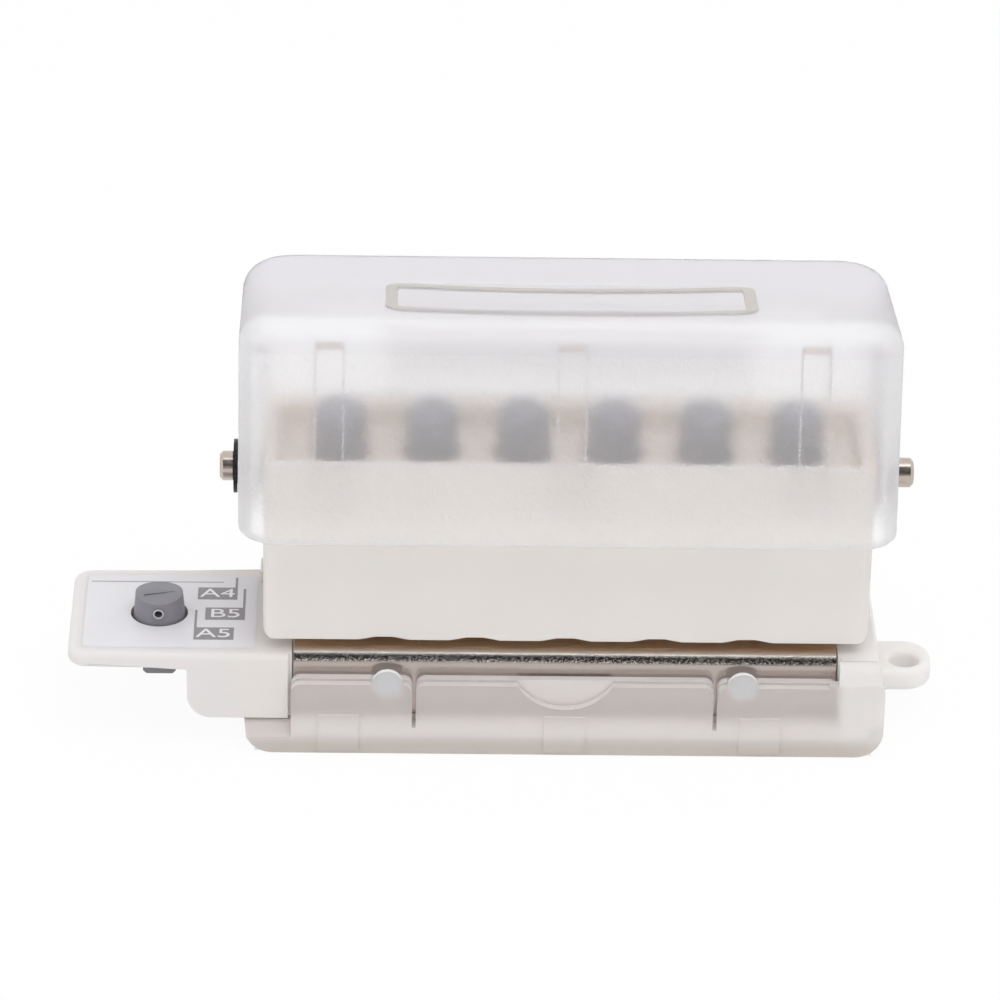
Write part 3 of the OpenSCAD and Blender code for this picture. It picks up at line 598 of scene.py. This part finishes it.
def black_steel():
    """Oil-blackened spring steel of the retaining clips."""
    material, shader = principled("black_oxide", (0.03, 0.03, 0.033), 0.42, Metallic=0.7)
    vary_colour(material, shader, noise(material, 0.5), (0.02, 0.02, 0.022), (0.05, 0.05, 0.055))
    vary_roughness(material, shader, noise(material, 0.3), 0.34, 0.5)
    add_bump(material, shader, noise(material, 0.12, 2), 0.004)
    return material


def grey_plastic(name, colour):
    """Violet-grey moulded plastic of the heads and the peg."""
    material, shader = principled(name, colour, 0.42)
    darker, lighter = ([share * c for c in colour] for share in (0.95, 1.05))
    vary_colour(material, shader, noise(material, 4, 2), darker, lighter)
    vary_roughness(material, shader, noise(material, 0.7), 0.36, 0.5)
    add_bump(material, shader, noise(material, 0.18, 2), 0.005)
    return material


def label_paper():
    """Satin white label film."""
    material, shader = principled("label_white", (0.76, 0.75, 0.78), 0.4)
    vary_colour(material, shader, noise(material, 6, 2), (0.75, 0.74, 0.77), (0.77, 0.76, 0.79))
    vary_roughness(material, shader, noise(material, 0.5), 0.34, 0.46)
    add_bump(material, shader, noise(material, 0.3, 2), 0.002)
    return material


def print_ink(name, colour):
    """Screen-print ink with a slightly uneven coat."""
    material, shader = principled(name, colour, 0.5)
    lighter = tuple(min(1, c * 1.08) for c in colour)
    vary_colour(material, shader, noise(material, 0.3), colour, lighter)
    vary_roughness(material, shader, noise(material, 0.25), 0.42, 0.58)
    return material


CREAM = cream_plastic("cream_abs", (0.775, 0.74, 0.71))
BASE_CREAM = base_cream()
# painted shade: the head guide's warm, darker cream stands for the shade and warm glow under the cover
GUIDE_SHADE_CREAM = cream_plastic("cream_abs_guide_shade", (0.77, 0.685, 0.61))
# painted shade: the trough walls get a darker, warmer cream for the shade and warm glow inside the trough
TROUGH_SHADE_CREAM = cream_plastic("cream_abs_trough_shade", (0.75, 0.66, 0.575))
FROST = wall_frost()
TOP_FROST = top_frost()
LIP_FROST = frosted_plastic("frosted_pp_lip", (0.9, 0.895, 0.9), 0.5)
RING_FROST = frosted_plastic("frosted_pp_ring", (0.975, 0.97, 0.97), 0.98)
INNER_FROST = frosted_plastic("frosted_pp_inner", (0.99, 0.99, 0.99), 1.0)
TRAY_FROST = tray_frost()
# painted light: a milkier, whiter skin for the tray's upward and slanted front faces, so they show lighter
# where light falls from above
TRAY_LIT_EDGE = frosted_plastic("frosted_pp_tray_lit_edge", (0.94, 0.92, 0.91), 0.38, 0.45)
# painted highlight: near-opaque white for the bright crescents on top of the snap bosses
SNAP_HIGHLIGHT_FROST = frosted_plastic("frosted_pp_snap_highlight", (0.97, 0.97, 0.98), 0.1, 0.45)
# painted shade: dark, nearly opaque colour for the ledge under the block
LEDGE_SHADE_FROST = frosted_plastic("frosted_pp_ledge_shade", (0.7, 0.645, 0.625), 0.1, 0.45)
TRAY_INNER = frosted_plastic("frosted_pp_tray_inner", (1, 1, 1), 1.0, 0.45, 1.2)
THICK_FROST = frosted_plastic("frosted_pp_thick", (0.76, 0.73, 0.695), 0.35)
RIB_FROST = frosted_plastic("frosted_pp_rib", (0.86, 0.81, 0.76), 0.4)
STEEL = plated_steel("nickel_steel", 0.006)
DIE_STEEL = die_steel()
WIRE = spring_wire()
BLACK = black_steel()
GREY = grey_plastic("grey_plastic", (0.285, 0.28, 0.305))
PEG_GREY = grey_plastic("grey_plastic_peg", (0.23, 0.225, 0.25))
# painted shade: near-black grey for the dark line along the peg's ridge
RIDGE_SHADE_GREY = grey_plastic("grey_plastic_ridge_shade", (0.1, 0.098, 0.105))
# painted highlight: lighter grey for the light ring on the lip round the pin hole
LIP_HIGHLIGHT_GREY = grey_plastic("grey_plastic_lip_highlight", (0.5, 0.495, 0.51))
PAPER = label_paper()
INK = print_ink("print_grey", (0.28, 0.265, 0.28))
LETTER = print_ink("print_white", (0.82, 0.81, 0.84))

# Skins of the cover: the moulded outside is hazy, and its inside and the ribs are clear
COVER_SKINS = (FROST, TOP_FROST, LIP_FROST, RING_FROST, INNER_FROST)
WALL_SKIN, TOP_SKIN, LIP_SKIN, RING_SKIN, INNER_SKIN = range(5)


# Pressing cover

def cover_ring(inset, height_of):
    """One ring of the cover, inset from its outside, with the height of each point from its b."""
    half, front, back = COVER_HALF - inset, COVER_FRONT + inset, COVER_BACK - inset
    near, far = COVER_CORNER - inset, COVER_BACK_CORNER - inset
    side_steps, long_steps = 14, 24
    corners = []
    for side, edge, radius, start in ((1, front, near, -90), (1, back, -far, 0), (-1, back, -far, 90),
                                      (-1, front, near, 180)):
        corners += arc((side * (half - abs(radius)), edge + radius), abs(radius), start, 90, CORNER_STEPS)
    points = []
    for k in range(4):
        curve = corners[k * (CORNER_STEPS + 1):(k + 1) * (CORNER_STEPS + 1)]
        points += curve
        start, end = Vector(curve[-1]), Vector(corners[(k + 1) * (CORNER_STEPS + 1) % len(corners)])
        steps = long_steps if k % 2 else side_steps
        points += [start.lerp(end, j / steps)[:] for j in range(1, steps)]
    return [(x + COVER_SHIFT, b, height_of(b)) for x, b in points]


def lower_edge(b):
    """Height of the cover's lower edge: level at rest near the front, down to the lobes, open behind."""
    edge_b = COVER_FRONT + EDGE_RUN
    edge_h = COVER_SKIRT + EDGE_RUN * math.tan(LEVER_TILT)
    neck_b, neck_h = -0.5 * LOBE, -0.866 * LOBE
    if b > COVER_BACK - COVER_BACK_CORNER + 0.001:
        return COVER_BACK_OPEN
    if b < edge_b:
        return COVER_SKIRT + (b - COVER_FRONT) * math.tan(LEVER_TILT)
    return edge_h + (neck_h - edge_h) * (b - edge_b) / (neck_b - edge_b)


def cover_shell():
    """Outer and inner skin of the cover as one closed mesh with round corners and a round rim."""
    inner_fillet = 1.4
    rings = []
    for k in range(9):
        a = math.radians(90 * k / 8)
        inset = COVER_FILLET * (1 - math.cos(a))
        height = COVER_TOP - COVER_FILLET * (1 - math.sin(a))
        rings.insert(0, cover_ring(inset, lambda b, height=height: height))
    lip = arc((COVER_RIM, COVER_RIM), COVER_RIM, 180, 90, 3)
    lip += [(COVER_WALL - inset, rise) for inset, rise in reversed(lip)]
    rings += [cover_ring(inset, lambda b, rise=rise: lower_edge(b) + rise) for inset, rise in lip]
    ceiling = COVER_TOP - COVER_TOP_WALL
    for k in range(5):
        a = math.radians(90 * k / 4)
        inset = COVER_WALL + inner_fillet * (1 - math.cos(a))
        height = ceiling - inner_fillet * (1 - math.sin(a))
        rings.append(cover_ring(inset, lambda b, height=height: height))
    skins = [TOP_SKIN] * 8 + [WALL_SKIN] + [LIP_SKIN] * 4 + [INNER_SKIN] * 8
    bm = bmesh.new()
    loops = [[bm.verts.new(Vector(p) * MM) for p in ring] for ring in rings]
    for above, below, skin in zip(loops, loops[1:], skins):
        for k in range(len(above)):
            n = (k + 1) % len(above)
            bm.faces.new((above[k], above[n], below[n], below[k])).material_index = skin
    bm.faces.new(loops[0]).material_index = TOP_SKIN
    bm.faces.new(loops[-1]).material_index = INNER_SKIN
    return add_object("frosted_cover", bm, *COVER_SKINS)


def frosted_cover():
    """The pressing cover: shell, pivot lobes, ribs, pressing rib, press panel and its dish."""
    cover = cover_shell()
    inner = COVER_HALF - COVER_WALL
    ceiling = COVER_TOP - COVER_TOP_WALL
    edge_b, edge_h = COVER_FRONT + EDGE_RUN, COVER_SKIRT + EDGE_RUN * math.tan(LEVER_TILT)
    lobe = arc((0, 0), LOBE, -120, 140, 28)
    cheek = [(edge_b, edge_h), *lobe, (COVER_BACK, COVER_BACK_OPEN), (edge_b, COVER_BACK_OPEN)]
    into, clear = 0.4, 0.01
    added = []
    for side in (-1, 1):
        wall = along_x(cheek, side * inner + COVER_SHIFT, side * (COVER_HALF - clear) + COVER_SHIFT, WALL_SKIN)
        for face in wall.data.polygons:
            if abs(face.center.x) < (inner + into) * MM:
                face.material_index = INNER_SKIN
        added.append(wall)
        added.append(along_x(disc((0, 0), BOSS), side * (inner + into), side * BOSS_FACE, WALL_SKIN))
    front_in = COVER_FRONT + COVER_WALL
    for x in (-RIB_X, 0, RIB_X):
        rib = rectangle((front_in - into, COVER_SKIRT + COVER_WALL), (front_in + RIB_HEIGHT, ceiling + into))
        added.append(along_x(rib, x - RIB_WIDTH / 2, x + RIB_WIDTH / 2, INNER_SKIN))
    b, h = PUSHER
    rib = [(b + PUSHER_RADIUS, ceiling + into), (b - PUSHER_RADIUS, ceiling + into),
           *arc((b, h), PUSHER_RADIUS, 180, 180, 24)]
    added.append(along_x(rib, -PUSHER_HALF, PUSHER_HALF, INNER_SKIN))
    wall = along_h(panel_outline(0), ceiling - PANEL_DROP, ceiling + into, RING_SKIN)
    hollow = along_h(panel_outline(PANEL_WALL), ceiling - PANEL_DROP - 1, ceiling, RING_SKIN)
    combine(wall, [hollow], "DIFFERENCE")
    added.append(wall)
    combine(cover, added, "UNION")
    bore = along_x(disc((0, 0), BORE), -BOSS_FACE - 1, BOSS_FACE + 1, INNER_SKIN)
    combine(cover, [bore, dish()], "DIFFERENCE")
    return on_lever(cover)


def panel_outline(inset):
    """Outline of the press panel's ring in X and b, whose long sides are slimmer than its ends."""
    half, depth = PANEL_HALF - inset, PANEL_DEPTH / 2 - PANEL_SLIM * inset
    return round_rectangle((-half, PANEL_B - depth), (half, PANEL_B + depth), max(PANEL_CORNER - inset, 0.4))


def dish_drop(x):
    """How far the dished panel lies under the top at a place along X."""
    return DISH * (1 - (x / PANEL_HALF) ** 2)


def dish():
    """Shallow hollow across the whole press panel."""
    steps, above = 24, COVER_TOP + 1
    places = [PANEL_HALF * (2 * k / steps - 1) for k in range(steps + 1)]
    outline = [(x, COVER_TOP - dish_drop(x)) for x in places] + [(PANEL_HALF, above), (-PANEL_HALF, above)]
    front, rear = PANEL_B - PANEL_DEPTH / 2, PANEL_B + PANEL_DEPTH / 2
    return solid(outline, lambda x, h, end: (x, rear if end else front, h), TOP_SKIN)


def press_ring():
    """Low rim round the dished panel."""
    sink = 0.3
    steps = 40
    bm = bmesh.new()
    loops = []
    for inset, height in ((0, -sink), (0, PANEL_RISE), (PANEL_WALL, PANEL_RISE), (PANEL_WALL, -sink)):
        points = []
        outline = panel_outline(inset)
        for start, end in zip(outline, outline[1:] + outline[:1]):
            start, end = Vector(start), Vector(end)
            pieces = steps if (end - start).length > PANEL_DEPTH else 1
            points += [start.lerp(end, k / pieces) for k in range(pieces)]
        corners = [Vector((x, b, COVER_TOP - dish_drop(x) + height)) for x, b in points]
        loops.append([bm.verts.new(corner * MM) for corner in corners])
    for above, below in zip(loops, loops[1:] + loops[:1]):
        for k in range(len(above)):
            n = (k + 1) % len(above)
            bm.faces.new((above[k], above[n], below[n], below[k]))
    return on_lever(add_object("press_ring", bm, THICK_FROST))


def rib_edge_highlights():
    """Thin milky beads along the stiffening ribs' sharp moulding edges, a painted highlight of those edges,
    and the ribs' thick upper ends.
    """
    bead, end_drop, end_height = 0.12, 1.1, 0.6
    ceiling = COVER_TOP - COVER_TOP_WALL
    line_low, line_high = COVER_SKIRT + COVER_WALL + 1, ceiling - 1.2
    near, far = COVER_FRONT + COVER_WALL - bead, COVER_FRONT + COVER_WALL + RIB_HEIGHT + bead
    lines, ends = bmesh.new(), bmesh.new()
    for x in (-RIB_X, 0, RIB_X):
        for side in (-1, 1):
            edge = x + side * RIB_WIDTH / 2
            outline = rectangle((edge - bead / 2, near), (edge + bead / 2, far))
            prism(lines, outline, lambda u, b, high: (u, b, line_high if high else line_low))
        end = rectangle((x - RIB_WIDTH / 2, near), (x + RIB_WIDTH / 2, far))
        prism(ends, end, lambda u, b, high: (u, b, ceiling - end_drop + (end_height if high else 0)))
    # painted highlight: the beads stand for the light caught by the ribs' sharp edges
    on_lever(add_object("rib_edge_highlights", lines, LIP_FROST))
    on_lever(add_object("rib_ends", ends, RIB_FROST))


def on_lever(piece):
    """Turns a piece from the cover's own frame to its place at rest."""
    piece.data.transform(Matrix.Translation(PIVOT * MM) @ Matrix.Rotation(-LEVER_TILT, 4, "X"))
    smooth(piece)
    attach(piece, "lever")
    return piece


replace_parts(frosted_cover(), "lever_cover")
press_ring()
rib_edge_highlights()


# Coil springs

def coil(name, centre, base_z, length, radius, wire, turns):
    """Compression spring as one tube, wound evenly from its base up."""
    per_turn, sides = 28, 10
    bm = bmesh.new()
    rings = []
    count = per_turn * turns
    for k in range(count + 1):
        turn = k / per_turn
        angle = 2 * math.pi * turn
        height = base_z + wire / 2 + (length - wire) * k / count
        middle = Vector((centre[0] + radius * math.cos(angle), centre[1] + radius * math.sin(angle), height))
        outward = Vector((math.cos(angle), math.sin(angle), 0))
        ring = []
        for s in range(sides):
            a = 2 * math.pi * s / sides
            offset = outward * math.cos(a) + Vector((0, 0, math.sin(a)))
            ring.append(bm.verts.new((middle + offset * wire / 2) * MM))
        rings.append(ring)
    for first, second in zip(rings, rings[1:]):
        for s in range(sides):
            n = (s + 1) % sides
            bm.faces.new((first[s], first[n], second[n], second[s]))
    bm.faces.new(rings[0])
    bm.faces.new(rings[-1])
    obj = add_object(name, bm, WIRE)
    smooth(obj, 60)
    return obj


for i in range(HOLE_COUNT):
    x = (i - (HOLE_COUNT - 1) / 2) * HOLE_PITCH
    spring = coil(f"return_coil_{i + 1}", (x, 0), WEB_TOP, SPRING_LENGTH, SPRING_COIL, SPRING_WIRE,
                  SPRING_TURNS)
    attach(spring, "base")
    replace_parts(spring, f"return_spring_{i + 1}")
    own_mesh(spring)

peg_coil = coil("peg_coil", (PEG_X, 0), PEG_SEAT_Z, PEG_SPRING_LENGTH, PEG_SPRING_COIL, PEG_SPRING_WIRE,
                PEG_SPRING_TURNS)
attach(peg_coil, "base")
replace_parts(peg_coil, "peg_spring")
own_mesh(peg_coil)


# Finishes of the solids that stay, and moulded copies of the others

def finish_node(node, material, edge):
    """Gives a solid its material and the rounding of its edges."""
    mesh = nodes[node].data
    mesh.materials.clear()
    mesh.materials.append(material)
    soften(node, edge)


def cut_across(obj, place, normal):
    """Splits the faces of an object along a plane, given in millimetres."""
    bm = bmesh.new()
    bm.from_mesh(obj.data)
    bmesh.ops.bisect_plane(bm, geom=[*bm.verts, *bm.edges, *bm.faces], dist=0.005 * MM,
                           plane_co=Vector(place) * MM, plane_no=normal)
    bm.to_mesh(obj.data)
    bm.free()


def moulded_base():
    """Base with its arm, block and ear, whose outer edges are softly round."""
    def arm_rim(x, y, z):
        outside = y < ARM_FRONT or y > ARM_BACK or x < ARM_END
        return x < ARM_ROOT and outside and z > ARM_LOW

    def front(x, y, z):
        return y < BLOCK_FRONT and z < BLOCK_TOP

    def ear(x, y, z):
        return x > EAR_ROOT

    base = moulded("base_frame", "moulded_base", ((0.8, arm_rim), (0.6, front), (0.7, ear)))
    base.data.materials.append(BASE_CREAM)
    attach(base, "base")


def in_snap(x, z):
    """Whether a place in X and Z belongs to one of the snap bosses."""
    return math.hypot(abs(x) - SNAP_X, z - SNAP_Z) < SNAP_RADIUS + NEAR


def moulded_tray():
    """Chip tray with soft edges: short snap bosses flush in the flap, a round cheek and a sloping ledge."""
    def crown(x, y, z):
        return x > CHEEK_X and z > CHEEK_TOP and y < FLAP_FRONT + NEAR

    def cheek(x, y, z):
        return x > TRAY_SIDE

    def front(x, y, z):
        return y < FLAP_BACK + NEAR

    tray = moulded("chip_tray", "moulded_tray", ((1.1, crown), (0.5, cheek), (0.2, front)))
    cut_across(tray, (0, 0, FLAP_TOP), (0, 0, 1))
    cut_across(tray, (0, FLAP_BACK, 0), (0, 1, 0))
    for vertex in tray.data.vertices:
        x, y, z = vertex.co / MM
        if in_snap(x, z) and y < FLAP_FRONT - 0.02:
            vertex.co.y = (FLAP_FRONT - 0.01) * MM
        if in_snap(x, z) and y > FLAP_FRONT + SNAP_REACH and z > FLAP_TOP + NEAR:
            vertex.co.y = (FLAP_FRONT + SNAP_REACH) * MM
        if x > CHEEK_X and z > CHEEK_TOP:
            vertex.co.z += SEAT_GAP * MM
        if x < -CHEEK_X and y < FLAP_FRONT + 0.3 and LEDGE_Z < z < LEDGE_TOP:
            vertex.co.x = max(x, LEDGE_X) * MM
            vertex.co.z = LEDGE_Z * MM
    tray.data.update()
    lit_edge_skin, inner_skin, snap_highlight_skin, ledge_shade_skin = range(1, 5)
    for material in (TRAY_FROST, TRAY_LIT_EDGE, TRAY_INNER, SNAP_HIGHLIGHT_FROST, LEDGE_SHADE_FROST):
        tray.data.materials.append(material)
    for face in tray.data.polygons:
        x, y, z = face.center / MM
        upward = face.normal.z > 0.3
        slanted = max(abs(c) for c in face.normal) < 0.985
        if y > FLAP_BACK and face.normal.dot(face.center - TRAY_MIDDLE * MM) < 0:
            face.material_index = inner_skin
        # upward faces of the snap bosses take the painted highlight
        elif upward and in_snap(x, z) and z > FLAP_TOP:
            face.material_index = snap_highlight_skin
        # upward faces of the left ledge take the painted shade
        elif upward and x < -CHEEK_X and y < FLAP_BACK:
            face.material_index = ledge_shade_skin
        # upward and slanted front faces take the milkier skin, painted light
        elif (upward or slanted) and y < FLAP_BACK and not (x > CHEEK_X and z > FLAP_TOP):
            face.material_index = lit_edge_skin
    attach(tray, "tray")


def moulded_housing():
    """Housing whose trough has a round inner rim."""
    def in_trough(x, y, z):
        return abs(x) < TROUGH_HALF and abs(y) < TROUGH_DEPTH and z > WEB_TOP - 0.5

    def rim(x, y, z):
        return in_trough(x, y, z) and z > TROUGH_RIM

    housing = moulded("punch_housing", "moulded_housing", ((1.2, rim),), 0.3)
    for material in (CREAM, TROUGH_SHADE_CREAM):
        housing.data.materials.append(material)
    for face in housing.data.polygons:
        # trough faces take the cream with painted shade
        face.material_index = 1 if in_trough(*(face.center / MM)) else 0
    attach(housing, "base")


def label_film():
    """Label that fills its recess."""
    film = moulded("size_label", "label_film", (), 0.02)
    corners = [vertex.co for vertex in film.data.vertices]
    for axis in (0, 1):
        low, high = min(c[axis] for c in corners), max(c[axis] for c in corners)
        for c in corners:
            c[axis] += ((c[axis] - low) / (high - low) * 2 - 1) * LABEL_GAP * MM
    film.data.materials.append(PAPER)
    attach(film, "base")


def gabled_peg():
    """Index peg with a slim head and a thin ridge across its top, whose near-black grey is painted shade."""
    peg = moulded("index_peg", "gabled_peg", ())
    for vertex in peg.data.vertices:
        if vertex.co.z > (BED_Z - 0.5) * MM:
            vertex.co.x += (PEG_SLIM - 1) * (vertex.co.x - PEG_X * MM)
            vertex.co.y *= PEG_SLIM
    peg.data.materials.append(PEG_GREY)
    bm = bmesh.new()
    prism(bm, [(-1.6, -0.8), (-1.55, -0.86), (1.65, -0.1), (1.6, -0.02)],
          lambda u, v, end: (PEG_X + u, v, PEG_TOP + (0 if end else -0.3)))
    ridge = add_object("peg_ridge", bm, RIDGE_SHADE_GREY)
    for piece in (peg, ridge):
        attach(piece, "peg")


moulded_base()
moulded_tray()
moulded_housing()
gabled_peg()
# the head guide takes the cream with painted shade
finish_node("head_guide", GUIDE_SHADE_CREAM, 0.1)
finish_node("die_plate", DIE_STEEL, 0.08)
finish_node("housing_screws", STEEL, 0.08)
finish_node("pivot_shaft", STEEL, 0.06)
finish_node("tray_hinge_pin", STEEL, 0.1)
label_film()
finish_node("peg_foot", PEG_GREY, 0.08)
for side in ("left", "right"):
    finish_node(f"e_clip_{side}", BLACK, 0.05)
for i in range(1, HOLE_COUNT + 1):
    finish_node(f"punch_pin_{i}", STEEL, 0.06)
    finish_node(f"punch_head_{i}", GREY, 0.1)


# Lip of the pin hole in the peg

def pin_lip():
    """Thin moulded lip round the pin hole, in a lighter grey that is a painted highlight."""
    thick, around, sides = 0.09, 32, 10
    bm = bmesh.new()
    rings = []
    for k in range(around):
        a = 2 * math.pi * k / around
        outward = Vector((math.cos(a), 0, math.sin(a)))
        middle = Vector((PEG_X, PEG_FRONT, PIN_HOLE_Z)) + outward * (PIN_HOLE_RADIUS + thick / 2)
        turns = (2 * math.pi * s / sides for s in range(sides))
        offsets = (thick * (outward * math.cos(t) + Vector((0, math.sin(t), 0))) for t in turns)
        rings.append([bm.verts.new((middle + offset) * MM) for offset in offsets])
    for first, second in zip(rings, rings[1:] + rings[:1]):
        for s in range(sides):
            n = (s + 1) % sides
            bm.faces.new((first[s], first[n], second[n], second[s]))
    lip = add_object("pin_lip", bm, LIP_HIGHLIGHT_GREY)
    smooth(lip, 60)
    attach(lip, "peg")


pin_lip()


# Printed label

def print_patch(name, outline, ink):
    """One flat patch of ink that lies on the label."""
    bm = bmesh.new()
    prism(bm, outline, lambda x, y, end: (x, y, BED_Z + (INK_COAT if end else 0)))
    patch = add_object(name, bm, ink)
    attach(patch, "base")


def print_word(name, word, centre, height, ink):
    """A short word in ink, cut from the built-in type."""
    curve = bpy.data.curves.new(name, "FONT")
    curve.body = word
    curve.align_x = "CENTER"
    curve.align_y = "CENTER"
    curve.size = height * MM / CAP_SHARE
    curve.extrude = INK_COAT * MM / 2
    text = bpy.data.objects.new("type", curve)
    scene.collection.objects.link(text)
    bpy.context.view_layer.update()
    mesh = bpy.data.meshes.new_from_object(text.evaluated_get(bpy.context.evaluated_depsgraph_get()))
    bpy.data.objects.remove(text)
    middle = Vector((centre[0], centre[1], BED_Z + 1.5 * INK_COAT)) * MM
    mesh.transform(Matrix.Translation(middle) @ Matrix.Diagonal((LETTER_WIDEN, 1, 1, 1)))
    mesh.materials.clear()
    mesh.materials.append(ink)
    obj = bpy.data.objects.new(name, mesh)
    scene.collection.objects.link(obj)
    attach(obj, "base")


def size_marks():
    """Paper-size boxes with their words, each with a guide line along one side, and one long line."""
    marks = (("A4", (-38.8, 2.8), 1, 7.5), ("B5", (-37.9, -1.5), 1, 5.1), ("A5", (-39.0, -5.7), 0, 0.5))
    for word, low, side, line_top in marks:
        high = (low[0] + BOX_SIZE[0], low[1] + BOX_SIZE[1])
        print_patch(f"box_{word}", rectangle(low, high), INK)
        middle = ((low[0] + high[0]) / 2, (low[1] + high[1]) / 2)
        print_word(f"word_{word}", word, middle, LETTER_HEIGHT, LETTER)
        guide = high[0] - GUIDE_WIDTH if side else low[0]
        print_patch(f"guide_{word}", rectangle((guide, high[1]), (guide + GUIDE_WIDTH, line_top)), INK)
    print_patch("guide_long", rectangle((-50.2, 6.44), (-36.1, 6.56)), INK)


size_marks()


# Camera, light and stage

def photo_camera():
    """Camera at the photograph's angle, distance and framing."""
    back = Vector((math.sin(VIEW_YAW) * math.cos(VIEW_RISE), -math.cos(VIEW_YAW) * math.cos(VIEW_RISE),
                   math.sin(VIEW_RISE)))
    level = (-back).cross(Vector((0, 0, 1))).normalized()
    upright = level.cross(-back).normalized()
    right = level * math.cos(VIEW_ROLL) + upright * math.sin(VIEW_ROLL)
    up = upright * math.cos(VIEW_ROLL) - level * math.sin(VIEW_ROLL)
    aside = (AIM_PIXEL[0] - FRAME_PIXELS / 2) / PIXELS_PER_MM
    above = (FRAME_PIXELS / 2 - AIM_PIXEL[1]) / PIXELS_PER_MM
    place = Vector((0, 0, BED_Z)) - right * aside - up * above + back * VIEW_DISTANCE
    data = bpy.data.cameras.new("photo_camera")
    data.sensor_width = SENSOR
    data.lens = VIEW_DISTANCE * PIXELS_PER_MM * SENSOR / FRAME_PIXELS
    data.clip_start, data.clip_end = 0.05, 20
    camera = bpy.data.objects.new("photo_camera", data)
    turn = Matrix((right, up, back)).transposed().to_4x4()
    camera.matrix_world = Matrix.Translation(place * MM) @ turn
    scene.collection.objects.link(camera)
    scene.camera = camera


def area_lamp(name, place, size, power):
    """Soft box that faces the object."""
    target = (0, 0, 0.02)
    data = bpy.data.lights.new(name, "AREA")
    data.shape = "DISK"
    data.size = size
    data.energy = power
    lamp = bpy.data.objects.new(name, data)
    lamp.location = place
    lamp.rotation_mode = "QUATERNION"
    lamp.rotation_quaternion = (Vector(target) - Vector(place)).to_track_quat("-Z", "Y")
    scene.collection.objects.link(lamp)


def seen_share(tree):
    """1 for rays that show the background to the eye: straight, mirrored or through clear parts."""
    path = tree.nodes.new("ShaderNodeLightPath")
    either = tree.nodes.new("ShaderNodeMath")
    either.operation = "MAXIMUM"
    tree.links.new(path.outputs["Is Camera Ray"], either.inputs[0])
    tree.links.new(path.outputs["Is Glossy Ray"], either.inputs[1])
    share = tree.nodes.new("ShaderNodeMath")
    share.operation = "MAXIMUM"
    tree.links.new(either.outputs["Value"], share.inputs[0])
    tree.links.new(path.outputs["Is Transmission Ray"], share.inputs[1])
    return share.outputs["Value"]


def white_world(strength):
    """Even white surround; what the eye sees of it is plain white."""
    world = bpy.data.worlds.new("white_surround")
    world.use_nodes = True
    scene.world = world
    tree = world.node_tree
    light = tree.nodes["Background"]
    light.inputs["Color"].default_value = (1, 1, 1, 1)
    light.inputs["Strength"].default_value = strength
    seen = tree.nodes.new("ShaderNodeBackground")
    seen.inputs["Color"].default_value = (1, 1, 1, 1)
    seen.inputs["Strength"].default_value = 1
    mix = tree.nodes.new("ShaderNodeMixShader")
    tree.links.new(seen_share(tree), mix.inputs["Fac"])
    tree.links.new(light.outputs["Background"], mix.inputs[1])
    tree.links.new(seen.outputs["Background"], mix.inputs[2])
    tree.links.new(mix.outputs["Shader"], tree.nodes["World Output"].inputs["Surface"])


def floor_white(name, own_light):
    """Matt white that keeps the object's soft shadow in the share that isn't its own light."""
    material = bpy.data.materials.new(name)
    material.use_nodes = True
    tree = material.node_tree
    tree.nodes.remove(tree.nodes["Principled BSDF"])
    matt = tree.nodes.new("ShaderNodeBsdfDiffuse")
    matt.inputs["Color"].default_value = (0.95, 0.95, 0.95, 1)
    glow = tree.nodes.new("ShaderNodeEmission")
    glow.inputs["Strength"].default_value = 1
    part = tree.nodes.new("ShaderNodeMath")
    part.operation = "MULTIPLY"
    part.inputs[1].default_value = own_light
    tree.links.new(seen_share(tree), part.inputs[0])
    mix = tree.nodes.new("ShaderNodeMixShader")
    tree.links.new(part.outputs["Value"], mix.inputs["Fac"])
    tree.links.new(matt.outputs["BSDF"], mix.inputs[1])
    tree.links.new(glow.outputs["Emission"], mix.inputs[2])
    tree.links.new(mix.outputs["Shader"], tree.nodes["Material Output"].inputs["Surface"])
    return material


def pale_floor(own_light):
    """White floor as far as the eye reaches."""
    bm = bmesh.new()
    bmesh.ops.create_grid(bm, x_segments=1, y_segments=1, size=4)
    floor = add_object("floor", bm, floor_white("floor_white", own_light))
    floor.location.z = -0.1 * MM


def dark_card(name, place, size):
    """Dark studio card that only mirrors see, for contrast on the bent steel and the shaft ends."""
    target = (place[0], 0, 0.01)
    bm = bmesh.new()
    bmesh.ops.create_grid(bm, x_segments=1, y_segments=1, size=0.5)
    bmesh.ops.scale(bm, verts=bm.verts, vec=(size[0], size[1], 1))
    card = add_object(name, bm)
    card.data.materials.append(principled("card_black", (0.02, 0.02, 0.02), 0.9)[0])
    card.location = place
    card.rotation_mode = "QUATERNION"
    card.rotation_quaternion = (Vector(target) - Vector(place)).to_track_quat("-Z", "Y")
    card.visible_camera = False
    card.visible_diffuse = False
    card.visible_transmission = False
    card.visible_shadow = False


def contact_shade(own_light):
    """The floor right under the tray, which little light reaches."""
    bm = bmesh.new()
    low, high = (-32.5, -9.6), (32.5, 16)
    prism(bm, rectangle(low, high), lambda x, y, end: (x, y, -0.03 if end else -0.08))
    add_object("floor_under_tray", bm, floor_white("floor_shaded", own_light))


photo_camera()
contact_shade(0.45)
white_world(0.8)
pale_floor(0.93)
dark_card("dark_card", (0, -0.32, 0.45), (1.2, 0.5))
for side in (-1, 1):
    dark_card("dark_card_side", (0.13 * side, -0.3, 0.22), (0.19, 0.4))
area_lamp("key_lamp", (0.1, -0.2, 0.65), 0.5, 1.3)
area_lamp("fill_lamp", (-0.5, -0.35, 0.35), 0.5, 0.25)
scene.view_settings.view_transform = "Standard"
